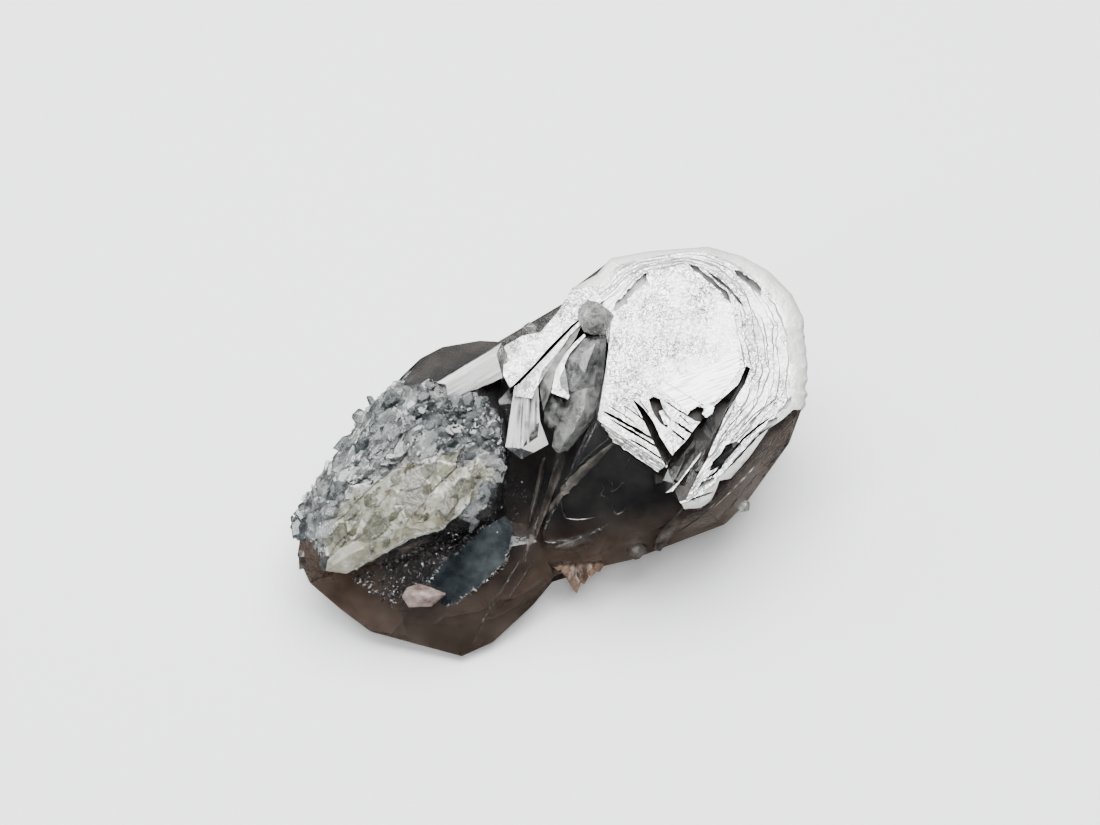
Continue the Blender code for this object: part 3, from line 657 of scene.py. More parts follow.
# ---- the right crystal ----
PLATEAU_EDGE = (
    (3.8, 6.2), (5.9, 8.6), (8.25, 9.2), (9.75, 8.55), (11.2, 6.75), (11.7, 4.4),
    (12.0, 2.6), (11.1, 0.1), (9.6, -2.3), (7.6, -4.7),
)  # the innermost ledge, from the left round the top to the lower right
RIM_EDGE = (
    (1.35, 7.75), (2.9, 8.6), (3.8, 9.65), (6.1, 10.1), (9.9, 10.4), (12.1, 9.8), (13.75, 8.9),
    (15.2, 7.4), (15.9, 5.9), (16.1, 2.9), (16.05, 0.6), (15.5, -0.1), (13.7, -1.8),
    (11.1, -4.1), (9.5, -5.85), (8.25, -5.95),
)  # the outermost ledge, over the same stretch
SILVER_CLOSE = ((7.05, -3.25), (2.9, -0.45), (3.35, 2.0), (3.6, 3.9))  # the flat face's plain edges
LEDGES = (0.0, 0.1, 0.17, 0.25, 0.32, 0.39, 0.47, 0.56, 0.66)  # each ledge's share of the way to the rim
LEDGE_DROP = 2.35  # how far the rim lies below the face
RIM_BEND = ((0.72, -0.03), (0.86, -0.18), (0.95, -0.2), (0.99, 0.02), (1.01, 0.6))  # share, extra drop
RING_POINTS = 300
VIEW_HEIGHT = 30.0  # rays down to the surface start here, nearer than any piece
WALL_FLARE = 0.085
CUTTER_START = -0.8  # the notch's cutters start this far above the face
HOLLOW_START = -0.6
CHANNEL_START = -0.5


def ring(share, drop, wobble, seed):
    """The points of one ledge's edge, a little uneven, and closed along the face's plain edges."""
    points = []
    for i in range(RING_POINTS):
        place = i / (RING_POINTS - 1)
        inner = along(PLATEAU_EDGE, place)
        outer = along(RIM_EDGE, place)
        spot = Vector((place * 8.0, seed * 3.7, 0.0))
        wave = noise.noise(spot) + 0.45 * noise.noise(spot * 3.3) + 0.25 * noise.noise(spot * 11.0)
        if share > 0.9:
            wave -= 4.5 * abs(noise.noise(spot * 4.5)) * eased(0.45, 0.6, place)  # nibbled at the right
        x, y = inner.lerp(outer, min(max(share + wobble * wave, 0.0), 1.0))
        points.append(on_silver(x, y, drop))
    middle = Vector((8.2, 2.8))
    for place in SILVER_CLOSE:
        x, y = Vector(place).lerp(middle, 0.02 * share)
        points.append(on_silver(x, y, drop))
    return points


def spread_out(points, drop, seed):
    """The foot of a ledge's wall: its edge moved outwards, by a width that comes and goes."""
    low = []
    for i, point in enumerate(points):
        before, after = points[i - 1], points[(i + 1) % len(points)]
        out = Vector((before.y - after.y, after.x - before.x)).normalized()
        wide = WALL_FLARE * (0.75 + 1.3 * noise.noise(Vector((i * 0.05, seed * 5.1, 2.0))))
        shift = out * (max(wide, 0.015) if i < RING_POINTS else 0.0)
        low.append(on_silver(point.x + shift.x, point.y + shift.y, drop))
    return low


def terrace_body():
    """The silver-white plate with its growth ledges, as rings joined into one closed surface; its treads take
    the painted-reflection white.
    """
    loops, kinds = [], []
    for level, share in enumerate(LEDGES):
        edge = ring(share, LEDGE_DROP * share, 0.02 if level == 0 else 0.085, level)
        after = LEDGES[level + 1] if level + 1 < len(LEDGES) else 0.72
        loops += [edge, spread_out(edge, LEDGE_DROP * after, level)]
        kinds += [1, 0]
    for share, extra in RIM_BEND:
        loops.append(ring(share, LEDGE_DROP * share + extra, 0.022, 20))
        kinds.append(3)
    skirt = [point.lerp(Vector((9.0, 2.5, point.z)), 0.1) - Vector((0, 0, 1.6)) for point in loops[-1]]
    return loft("terraces", [*loops, skirt], kinds)


def notch_cutters():
    """The V-shaped notch in the flat face, and its pits and slots."""
    band = ((12.1, 2.9), (11.6, 1.8), (10.0, 0.4), (9.0, -0.7), (8.25, -1.75), (7.5, -2.5), (7.1, -3.3),
            (6.3, -4.9), (7.0, -6.3), (8.1, -5.9), (8.7, -4.5), (9.15, -3.7), (9.6, -3.0), (10.1, -1.8),
            (10.4, -1.1), (10.7, -0.3), (11.4, 0.85), (12.0, 1.75), (12.4, 2.8))
    crack = ((5.0, 0.9), (5.5, 0.0), (5.9, -0.9), (6.5, -2.2), (7.05, -3.3), (7.8, -3.0), (7.3, -2.4),
             (6.75, -1.5), (6.3, -0.5), (5.75, 0.25))
    long_pit = ((6.0, 0.85), (6.3, 1.05), (6.75, 0.9), (6.95, 0.35), (7.45, -0.5), (7.2, -1.0),
                (6.75, -0.75), (6.3, -0.15))
    round_pit = ((8.3, -0.2), (8.5, 0.1), (9.05, 0.45), (9.5, 0.3), (9.4, -0.05), (10.1, -0.35),
                 (9.5, -0.7), (8.9, -0.6))
    return [
        slab("band", all_on_silver(band, CUTTER_START), 2.4, -0.15),
        slab("crack", all_on_silver(crack, CUTTER_START), 1.9, -0.04),
        slab("long pit", all_on_silver(long_pit, CUTTER_START), 1.5, -0.12),
        slab("round pit", all_on_silver(round_pit, CUTTER_START), 1.4, -0.12),
    ]


def slot_cutters():
    """Long narrow slots between the upper growth ledges."""
    slots = (
        (((645, 274), (641, 281), (626, 297), (613, 312)), 0.5, 0.6),
        (((688, 264), (706, 278), (722, 292), (729, 304)), 0.34, 0.9),
        (((707, 273), (724, 286), (734, 297), (741, 306)), 0.22, 1.2),
        (((734, 270), (745, 278), (757, 288), (760, 295)), 0.46, 2.3),
        (((612, 258), (604, 265), (597, 274)), 0.2, 1.6),
    )
    return channels("slot", slots, 70)


def lower_edge():
    """What lies beyond the strips' jagged lower edge, to be cut away."""
    outline = ((800, 409), (791, 409), (781, 418), (766, 428), (757, 441), (744, 459), (734, 470), (728, 477),
               (716, 479), (713, 488), (708, 499), (690, 512), (660, 516), (684, 545), (770, 500), (825, 440))
    return slab("lower edge", all_on_silver(px(*outline), HOLLOW_START), 4.2, -0.03)


def hollows():
    """Grey hollows between the strips at the lower right."""
    outlines = (
        ((706, 470), (709, 460), (717, 453), (722, 444), (733, 440), (739, 443), (731, 451), (723, 461),
         (713, 467)),
        ((762, 426), (766, 419), (776, 416), (773, 424), (766, 431)),
        ((779, 409), (783, 402), (790, 395), (789, 401), (784, 409)),
        ((694, 486), (698, 480), (707, 477), (714, 474), (709, 480), (700, 485)),
    )
    return [
        slab(f"hollow {i}", all_on_silver(px(*outline), HOLLOW_START), 2.5, -0.03)
        for i, outline in enumerate(outlines)
    ]


def px(*places):
    """Places in the layout from places in the front view's frame of 1100 by 825."""
    return [((x - 550.0) / 16.0, (412.0 - y) / 16.0) for x, y in places]


def with_walls(thing, wall):
    """Puts the faces that don't lie along the flat face in the wall's slot."""
    facing = Vector(SILVER_NORMAL).normalized()
    for face in thing.data.polygons:
        face.material_index = 0 if face.normal.dot(facing) > 0.9 else wall
    return thing


def front_strips():
    """Thin steps along the flat face's lower edge."""
    left, right = Vector((2.9, -0.45)), Vector((7.05, -3.25))
    out = Vector((-0.55, -0.835))
    strips = []
    for step in range(1, 5):
        shift = out * 0.14 * step
        inset = (right - left) * 0.03 * step
        dice = random.Random(80 + step)
        ends = left + shift + inset * 2.5, right + shift - inset * 0.3
        edge = [ends[0].lerp(ends[1], i / 16) + out * dice.uniform(-0.04, 0.04) for i in range(17)]
        outline = [left - out, *edge, right - out]
        strips.append(slab(f"strip {step}", all_on_silver(outline, 0.17 * step), 1.4, 0.05))
    return strips


def channel(name, path, width, depth, seed):
    """A cutter along the path on the flat face, with ragged sides."""
    dice = random.Random(seed)
    points = [Vector(along(path, i / 14)) for i in range(15)]
    left, right = [], []
    for i, point in enumerate(points):
        way = (points[min(i + 1, 14)] - points[max(i - 1, 0)]).normalized()
        side = Vector((-way.y, way.x)) * width / 2
        taper = min(1.0, 0.25 + min(i, 14 - i) / 3)
        left.append(point + side * taper * dice.uniform(0.6, 1.3))
        right.append(point - side * taper * dice.uniform(0.6, 1.3))
    return slab(name, all_on_silver(left + right[::-1], CHANNEL_START), depth - CHANNEL_START, -0.02)


def channels(name, rows, seed):
    """Cutters from rows of path in the front view, width and depth."""
    return [channel(f"{name} {i}", px(*path), *sizes, seed + i) for i, (path, *sizes) in enumerate(rows)]


def strip_gaps():
    """Dark gaps between the narrow strips at the lower right, and a few in the flat face."""
    gaps = (
        (((772, 414), (756, 425), (742, 436), (728, 452), (716, 466), (706, 480)), 0.14, 2.4),
        (((770, 424), (756, 434), (744, 447), (732, 460), (720, 471)), 0.12, 2.6),
        (((764, 404), (750, 415), (738, 428)), 0.09, 1.7),
        (((752, 398), (738, 412), (724, 428), (714, 442)), 0.07, 1.4),
        (((776, 396), (764, 406), (744, 424)), 0.08, 2.0),
        (((687, 498), (698, 494), (711, 490)), 0.12, 2.8),
        (((701, 477), (712, 472), (720, 464)), 0.10, 2.6),
        (((663, 401), (676, 410), (688, 417)), 0.12, 0.5),
        (((668, 397), (681, 406), (692, 412)), 0.10, 0.5),
        (((672, 421), (681, 427), (690, 433)), 0.18, 0.5),
        (((676, 414), (686, 423)), 0.09, 0.5),
        (((602, 411), (616, 418), (638, 431), (659, 443)), 0.2, 0.6),
        (((608, 418), (627, 429), (644, 439), (664, 451), (676, 460)), 0.16, 0.6),
        (((622, 405), (640, 418), (656, 431)), 0.1, 0.5),
        (((626, 437), (642, 446), (660, 458), (672, 466)), 0.12, 0.7),
        (((606, 405), (622, 414), (634, 423)), 0.07, 0.5),
        (((630, 404), (641, 420)), 0.08, 0.4),
        (((637, 399), (647, 413)), 0.08, 0.4),
        (((668, 428), (678, 436), (684, 440)), 0.14, 0.6),
    )
    return channels("gap", gaps, 0)


def smoky_body():
    """The dark crystal under the terraces, with its front facets."""
    top = all_on_silver(SILVER_CLOSE, 0.7)
    rim = (
        (1.35, 7.7, 0.4), (3.8, 9.55, -0.2), (6.1, 9.95, -0.5), (9.9, 10.2, -1.2), (12.1, 9.6, -1.3),
        (13.7, 8.7, -1.4), (15.1, 7.2, -1.4), (15.8, 5.8, -1.3), (15.95, 2.9, -1.0),
        (15.9, 0.6, -0.3), (15.4, -0.2, 0.6), (13.6, -1.9, 2.4), (11.1, -4.2, 3.6),
    )
    dark_front = facet((7.05, -3.25, 5.6), (3.4, -7.1, 2.6), (8.1, -5.9, 4.0))
    narrow_left = facet((2.9, -0.5, 5.1), (-0.5, -7.6, 1.9), (1.06, -4.4, 3.9))
    front = on_facet(dark_front, (7.05, -3.25), (3.4, -7.1), (8.1, -5.9), (9.5, -5.8))
    front += on_facet(narrow_left, (2.9, -0.5), (-0.5, -7.6), (1.06, -4.4))
    front += [Vector(place) for place in (
        (0.25, -10.2, -0.9), (3.6, -9.6, -1.1), (5.1, -9.25, -1.0), (7.0, -8.4, -0.9),
        (8.7, -7.75, -0.7), (11.0, -7.0, -0.8), (12.2, -5.8, -0.6), (13.6, -3.65, -0.8),
        (15.0, -1.95, -0.9),
    )]
    flank = ((0.5, 3.5, 0.5), (0.3, -1.0, 1.6), (-0.3, -6.0, 1.2))
    far = all_hidden(
        (3.5, 9.6, 1.0), (10.0, 10.4, 1.5), (14.4, 6.5, -1.0), (15.2, 1.5, -3.5),
        (12.0, -2.2, -6.0), (5.0, -5.6, -7.6), (2.0, -4.5, -9.9), (10.5, -2.0, -9.9),
        (11.8, 3.0, -9.9), (8.5, 7.0, -9.9), (3.0, 6.6, -9.9), (9.0, 9.6, -4.0),
    )
    return hull("smoky body", [*top, *rim, *front, *flank, *far])


# ---- the left crystal ----
CRUST_REGION = (
    (-17.2, -8.6), (-16.8, -4.0), (-14.6, -0.8), (-12.1, 1.8), (-9.6, 2.4), (-7.3, 1.9),
    (-4.2, 1.5), (-2.4, -0.8), (-2.4, -3.4), (-3.4, -6.2), (-4.8, -7.2), (-6.4, -7.0),
    (-12.5, -9.4), (-13.9, -9.6), (-15.4, -8.4),
)
CRUST_PLATES = ((2.3, 0.36, 0.34), (1.0, 0.18, 0.36), (0.45, 0.09, 0.34))  # across, rise, tilt
CREAM_PLATES = ((1.9, 0.05, 0.13), (0.8, 0.02, 0.15))
CREAM_REGION = (
    (-13.9, -7.5), (-13.8, -9.6), (-12.2, -9.9), (-11.0, -9.2), (-8.8, -7.9), (-6.4, -7.4),
    (-5.3, -6.0), (-3.6, -3.9), (-3.9, -2.9), (-5.8, -2.2), (-8.2, -2.9), (-9.5, -3.4), (-11.2, -4.6),
    (-12.7, -5.6), (-13.6, -6.8),
)
SCALE_WAY = Vector((0.62, 0.78, 0.0))  # the slanting scales run this way
SCALE_STRETCH = 0.5
CREAM_SHIFT = Vector((40.0, 0.0, 0.0))  # so the cream plates don't repeat the crust's
CRUST_VOXEL = 0.075
CREST_HEIGHT = 0.045  # a vertex this far above its neighbours is wholly on a crest


def plate_height(place, plates):
    """How far a patchwork of small tilted crystal plates stands up at that place."""
    height = 0.0
    squeezed = place - SCALE_WAY * place.dot(SCALE_WAY) * SCALE_STRETCH
    for across, rise, tilt in plates:
        spot = squeezed / across
        cell = noise.voronoi(spot)[1][0]
        dice = noise.cell_vector(cell * 9.7)
        lean = Vector((dice.y - 0.3, dice.z - 0.7, dice.x - 0.5))
        height += rise * (dice.x - 0.4) + tilt * across * lean.dot(spot - cell)
    return height


def left_hull():
    top = (
        (-13.75, -9.2, 3.3), (-9.9, -8.6, 4.0), (-6.5, -7.25, 4.2), (-3.7, -6.4, 3.9),
        (-2.9, -3.9, 4.1), (-2.7, -2.9, 4.1), (-4.5, 1.2, 3.7), (-7.5, 1.9, 2.9),
        (-9.4, 1.6, 1.8), (-12.0, -3.0, 2.8), (-14.0, -6.0, 2.2),
    )
    edge = (
        (-15.5, -7.2, 0.5), (-14.6, -4.5, 0.1), (-12.7, -2.4, -0.3), (-11.15, 0.1, -0.5),
        (-9.25, 2.3, -0.4), (-8.1, 3.4, -0.1), (-6.75, 4.1, -0.1), (-4.4, 4.5, 0.1),
        (-2.75, 4.4, 0.5), (-15.75, -8.9, 0.9), (-15.0, -10.6, 0.8),
    )
    far = all_hidden(
        (-14.0, -7.5, -7.5), (-13.0, -6.0, -9.9), (-3.0, -7.0, -9.9), (-2.0, 4.5, -9.9),
        (-8.0, 4.0, -9.9), (-13.0, 1.0, -9.9), (-14.5, -1.5, -5.0), (-10.5, 3.0, -3.5),
        (-5.0, 6.5, -2.5), (-2.0, 6.5, -3.0),
    )
    return hull("left body", [*top, *edge, *far])


def crust_body():
    """The crust on the left crystal, with the smoother cream patch in it.

    Each vertex notes what the material needs: the tone of its plate, how much it belongs to the
    cream patch or to the dark saddle, and whether it is on a crest or in a hollow, for the painted highlights
    and painted shade.
    """
    body = left_hull()
    outline = [Vector((x, y, 9.0)) for x, y in CRUST_REGION]
    boolean(body, [slab("crust region", outline, 11.0)], "INTERSECT")
    boolean(body, [cream_plate()], "UNION")
    changed(body, "REMESH", mode="VOXEL", voxel_size=CRUST_VOXEL)
    shape = bmesh.new()
    shape.from_mesh(body.data)
    shape.normal_update()
    names = ("tone", "cream", "saddle")
    layers = [shape.verts.layers.float.new(name) for name in names]
    crest = shape.verts.layers.float.new("crest")
    lifts = []
    for vertex in shape.verts:
        x, y, _ = place = vertex.co
        blur = 0.7 * noise.noise(place * 0.9) + 0.35 * noise.noise(place * 2.5)
        cream = eased(-0.5, 0.5, within(CREAM_REGION, x, y) + blur)
        saddle = eased(-0.6, 0.6, within(SADDLE_REGION, x, y) + blur)
        edge = eased(0.0, 1.0, within(CRUST_REGION, x, y))
        drawn = place - SCALE_WAY * place.dot(SCALE_WAY) * 0.7
        smooth = 0.16 * noise.noise(drawn * 0.8) + plate_height(place + CREAM_SHIFT, CREAM_PLATES)
        height = plate_height(place, CRUST_PLATES) * (0.25 + 0.75 * edge)
        height = max(height, (0.08 + 0.1 * noise.noise(place * 2.5)) * edge)
        height += (smooth + 0.05 - height) * min(1.0, 1.15 * cream)
        dice = noise.cell_vector(noise.voronoi(place / 0.5)[1][0] * 7.3)
        for layer, value in zip(layers, (dice.x, cream, saddle)):
            vertex[layer] = value
        lifts.append((vertex, vertex.normal * (height - 0.2 * (1.0 - edge))))
    for vertex, lift in lifts:
        vertex.co += lift
    shape.normal_update()
    # how far each vertex stands out from its neighbours: the crest value behind the painted highlights and
    # painted shade
    for vertex in shape.verts:
        around = [edge.other_vert(vertex).co for edge in vertex.link_edges]
        out = (vertex.co - sum(around, Vector()) / len(around)).dot(vertex.normal)
        calm = (1.0 - 0.8 * vertex[layers[1]]) * (1.0 - 0.5 * vertex[layers[2]])
        vertex[crest] = 0.5 + out / CREST_HEIGHT * calm
    shape.to_mesh(body.data)
    shape.free()
    return body


def cream_plate():
    """The smoother patch of the crust: a plate with a sharp, undercut lower edge."""
    face = facet((-13.0, -8.8, 3.95), (-5.6, -5.6, 4.65), (-9.0, -3.6, 3.95))
    outline = (
        (-13.85, -9.65), (-12.1, -9.85), (-9.9, -8.65), (-8.3, -7.8), (-6.5, -7.3), (-5.0, -5.5),
        (-4.4, -3.6), (-7.0, -2.9), (-9.4, -3.35), (-10.4, -4.1), (-12.3, -4.6), (-13.6, -5.8),
        (-14.0, -7.4), (-13.5, -9.0),
    )
    return slab("cream plate", on_facet(face, *outline), 1.8, -0.5)


def lower_prism():
    """The brown crystal that the left one stands on."""
    ridge = (
        (-13.4, -10.1, 2.3), (-9.4, -11.7, 1.9), (-6.5, -12.0, 2.0), (-2.5, -8.3, 2.6),
        (-0.75, -8.0, 2.2), (-3.0, -11.2, 1.7),
    )
    edge = (
        (-15.0, -10.6, 0.7), (-13.1, -12.25, 0.4), (-11.2, -13.7, 0.2), (-7.8, -14.6, 0.1),
        (-5.5, -15.25, 0.1), (-3.6, -14.4, -0.2), (-1.1, -12.1, -0.4), (0.25, -10.2, -0.5),
    )
    far = all_hidden(
        (-13.0, -8.5, -9.9), (-6.5, -10.6, -9.9), (1.0, -5.0, -9.9), (-12.0, 0.0, -9.9),
        (0.0, 2.0, -9.9), (-5.0, -1.0, -3.0),
    )
    return hull("lower prism", [*ridge, *edge, *far])


def blue_panel():
    """The smooth dark facet between two broken ridges, below the crust."""
    return hull(
        "blue panel",
        [
            (-7.6, -10.3, 2.9), (-3.75, -6.9, 3.9), (-2.4, -7.7, 2.9), (-6.4, -12.0, 2.1),
            (-4.4, -10.8, 2.35), (-2.75, -9.2, 2.75),
            (-7.2, -9.0, -1.0), (-2.0, -6.0, -1.0), (-5.5, -12.0, -1.0), (-8.6, -10.9, 2.2),
        ],
    )


def valley_floor():
    """What joins the two large crystals."""
    seen = (
        (-3.3, 4.4, 0.2), (-1.9, 4.8, 0.6), (0.3, 5.9, 0.4), (1.6, 6.9, 0.6), (3.5, 8.4, 0.6),
        (4.2, 1.0, 2.6), (-3.4, 0.5, 2.8), (-3.2, -5.0, 2.0), (-1.2, -5.0, 1.6), (1.4, -8.0, 1.0),
        (-0.6, -9.5, 0.6),
    )
    far = all_hidden(
        (-4.0, 6.0, -9.9), (4.0, 7.5, -9.9), (-4.0, -8.0, -9.9), (4.0, -5.0, -9.9),
        (2.0, 8.5, -4.0), (-3.0, 6.8, -4.0),
    )
    return hull("valley floor", [*seen, *far])


def far_side():
    """Broad prism faces on the back, so that it is as much crystal as the front."""
    blocks = (
        ((10.5, 6.3, -9.9), (11.2, 10.0, 1.0), 4.8, 4.4, 0.25),
        ((6.0, 6.5, -9.9), (6.2, 10.6, -0.6), 4.6, 4.4, 0.30),
        ((12.9, 3.4, -9.9), (14.1, 5.2, -1.6), 3.6, 3.8, 0.30),
        ((2.0, 5.5, -9.9), (2.0, 9.2, -2.4), 4.2, 4.0, 0.30),
        ((-2.4, 4.0, -9.9), (-2.4, 7.0, -3.4), 4.6, 4.2, 0.35),
        ((-6.6, 3.0, -9.9), (-6.8, 6.0, -3.8), 4.4, 4.0, 0.35),
        ((-10.4, 0.4, -9.9), (-10.9, 3.2, -5.4), 3.6, 3.8, 0.40),
        ((4.2, 8.0, -9.9), (4.2, 10.4, -6.0), 2.4, 2.4, 0.45),
        ((8.7, 8.2, -9.9), (8.9, 11.0, -5.6), 2.7, 2.6, 0.40),
        ((-4.4, 5.4, -9.9), (-4.6, 7.6, -6.6), 2.3, 2.2, 0.45),
        ((-8.8, 3.6, -9.9), (-9.0, 5.4, -7.2), 1.9, 1.9, 0.50),
    )
    made = []
    for i, (foot, tip, width, thickness, share) in enumerate(blocks):
        ends = hidden(*foot), hidden(*tip)
        made.append(prism(f"back crystal {i}", *ends, width, thickness, share, 0.35 + 0.5 * i))
    return made


# ---- small crystals and splinters ----
def place_on(surface, x, y):
    """The place on the surface that the layout's near side shows there, and the way it faces."""
    place, normal, _, _ = surface.ray_cast(Vector((x, y, VIEW_HEIGHT)), Vector((0.0, 0.0, -1.0)))
    return place, normal


def splinter(place, normal, size, dice, stretch):
    turn = normal.to_track_quat("Z", "Y").to_matrix() @ Matrix.Rotation(dice.uniform(0, 3), 3, "Z")
    corners = []
    for _ in range(7):
        offset = Vector((dice.uniform(-1, 1) * stretch, dice.uniform(-0.6, 0.6), dice.uniform(-0.7, 0.6)))
        corners.append(place + turn @ offset * size)
    return corners


SPLINTER_SPREAD = 0.06  # how far the splinters stray from their path


def splinters_along(surface, path, step, size, seed):
    """Small broken bits along a path on the surface."""
    dice = random.Random(seed)
    length = path_length(path)
    groups = []
    for i in range(int(length / step)):
        x, y = along(path, (i + dice.random()) * step / length)
        place, normal = place_on(surface, x + dice.gauss(0, SPLINTER_SPREAD), y + dice.gauss(0, SPLINTER_SPREAD))
        if place:
            groups.append(splinter(place, normal, size * dice.uniform(0.4, 1.3), dice, 1.5))
    return groups


def places_over(surface, region, dice, tries, margin=0.0, keep_out=()):
    """Random places on the surface inside the region but in none of the others, and how they face."""
    xs, ys = zip(*region)
    for _ in range(tries):
        x, y = dice.uniform(min(xs), max(xs)), dice.uniform(min(ys), max(ys))
        if within(region, x, y) < margin or any(inside(other, x, y) for other in keep_out):
            continue
        place, normal = place_on(surface, x, y)
        if place is not None:
            yield place, normal


def crystals_over(surface, region, count, size, lean, seed):
    """Small pointed crystals growing from the surface inside a region of the layout."""
    dice = random.Random(seed)
    groups = []
    for place, normal in islice(places_over(surface, region, dice, 20 * count), count):
        width = size[0] + (size[1] - size[0]) * dice.random() ** 2
        way = (normal + Vector([dice.uniform(-lean, lean) for _ in range(3)])).normalized()
        foot, tip = place - way * width * 0.7, place + way * width * dice.uniform(0.3, 0.9)
        thickness = width * dice.uniform(0.5, 0.95)
        groups.append(prism_corners(foot, tip, width, thickness, 0.45, dice.uniform(0, 3)))
    return groups


# ---- the crystals between them ----
PLATE_POINT, PLATE_NORMAL = (-0.3, 4.2, 3.9), (-0.12, 0.34, 0.93)  # the valley's pale plates


def on_plate(x, y, rise=0.0):
    return Vector((x, y, near_on(PLATE_POINT, PLATE_NORMAL, x, y) + rise))


def by_facing(thing, direction, limit, *materials):
    """Gives the faces that look in the direction the first material, and the rest the second: a lit and a shaded
    copy, painted light.
    """
    dress(thing, materials)
    direction = Vector(direction).normalized()
    for face in thing.data.polygons:
        face.material_index = 0 if face.normal.dot(direction) > limit else 1
    return thing


NOTCH_SLIVER = ((9.3, -2.4), (8.8, -3.0), (7.9, -4.2), (7.1, -4.9), (7.5, -4.8), (8.2, -3.9), (9.1, -2.8))
NOTCH_WEDGES = (
    # outline in the front view, height below the flat face at its first and last corners
    (((702, 448), (716, 425), (724, 408), (733, 398), (722, 420), (711, 446), (700, 470), (692, 470)),
     1.0, 1.35),
    (((667, 452), (682, 436), (694, 424), (690, 440), (676, 458), (668, 466)), 0.9, 1.3),
    (((652, 469), (662, 456), (670, 452), (668, 462), (660, 480), (654, 482)), 1.15, 1.5),
    (((672, 477), (684, 452), (694, 441), (690, 462), (682, 484)), 1.2, 1.5),
    (((720, 394), (733, 377), (742, 366), (740, 380), (728, 400)), 0.7, 1.1),
)
FACE_PLATES = (
    # smooth striated plates standing a little above the flat face
    (((663, 382), (672, 377), (684, 374), (701, 368), (716, 362), (725, 353), (735, 345), (737, 369),
      (726, 384), (712, 401), (700, 404)), 0.10),
    (((656, 387), (663, 382), (699, 403), (685, 411)), 0.04),
    (((657, 411), (665, 407), (673, 419), (670, 427), (662, 423)), -0.34),
    (((662, 418), (668, 415), (677, 426), (669, 432)), -0.2),
    (((697, 401), (704, 401), (711, 407), (709, 413), (703, 417), (699, 413), (704, 409), (701, 405)),
     0.05),
)


def notch_pieces():
    """The white sliver and the grey-brown wedges that stand in the notch."""
    made = [dress(slab("notch sliver", all_on_silver(NOTCH_SLIVER, 0.95), 1.2, 0.05), (PEARLY_REFLECTION,))]
    for i, (outline, first, last) in enumerate(NOTCH_WEDGES):
        places = px(*outline)
        drops = [first + (last - first) * k / (len(places) - 1) for k in range(len(places))]
        points = [on_silver(x, y, drop) for (x, y), drop in zip(places, drops)]
        made.append(dress(bevelled(slab(f"notch wedge {i}", points, 1.0, 0.12), 0.03), (WEDGE,)))
    return made


def face_plates():
    return [
        dress(slab(f"face plate {i}", all_on_silver(px(*outline), -rise), 0.6, 0.04), (SATIN_REFLECTION,))
        for i, (outline, rise) in enumerate(FACE_PLATES)
    ]


def white_plates():
    """The pale plates at the top of the valley, with the dark grooves between them; faces towards the plates'
    normal are painted lit, the sides and the grooves take the painted-shade grey.
    """
    outlines = (
        ((-2.8, 4.1), (-1.7, 4.75), (-0.6, 4.95), (0.55, 6.3), (1.3, 7.6), (2.6, 7.8), (3.3, 6.9),
         (1.3, 5.35), (-0.1, 3.95), (-1.0, 2.9), (-2.05, 1.85), (-2.45, 1.5), (-2.9, 2.3)),
        ((3.2, 6.6), (2.4, 6.2), (1.35, 5.2), (0.0, 3.75), (-1.9, 1.75), (-2.2, 1.0), (-1.1, 0.85),
         (-0.75, 1.6), (-0.6, 2.45), (1.25, 4.75), (2.0, 5.5)),
        ((2.1, 4.85), (1.5, 4.3), (0.9, 3.6), (0.35, 2.6), (0.05, 1.2), (1.1, 0.8), (1.2, 1.0),
         (0.6, 1.6), (0.55, 2.1), (0.9, 2.9), (1.2, 3.6), (2.2, 4.7)),
    )
    rises = (0.0, 0.12, 0.35)
    made = []
    for i, (outline, rise) in enumerate(zip(outlines, rises)):
        points = [on_plate(x, y, rise) for x, y in outline]
        plate = bevelled(slab(f"white plate {i}", points, 3.2, 0.2), 0.03)
        made.append(by_facing(plate, PLATE_NORMAL, 0.9, PEARLY_REFLECTION, GREY))
    band = [on_plate(x, y, rise) for x, y, rise in (
        (1.9, 5.3, 0.0), (1.3, 5.1, -0.1), (-0.7, 2.5, -0.1), (-0.6, 1.2, -0.3), (-0.4, 0.1, -0.2),
        (0.0, 1.2, 0.2), (0.35, 2.6, 0.25), (0.9, 3.6, 0.25), (1.6, 4.6, 0.2),
    )]
    # the groove band takes the grey of painted shade
    facet_band = slab("grey facet", band, 2.4, 0.1)
    made.append(dress(facet_band, (GREY,)))
    return made


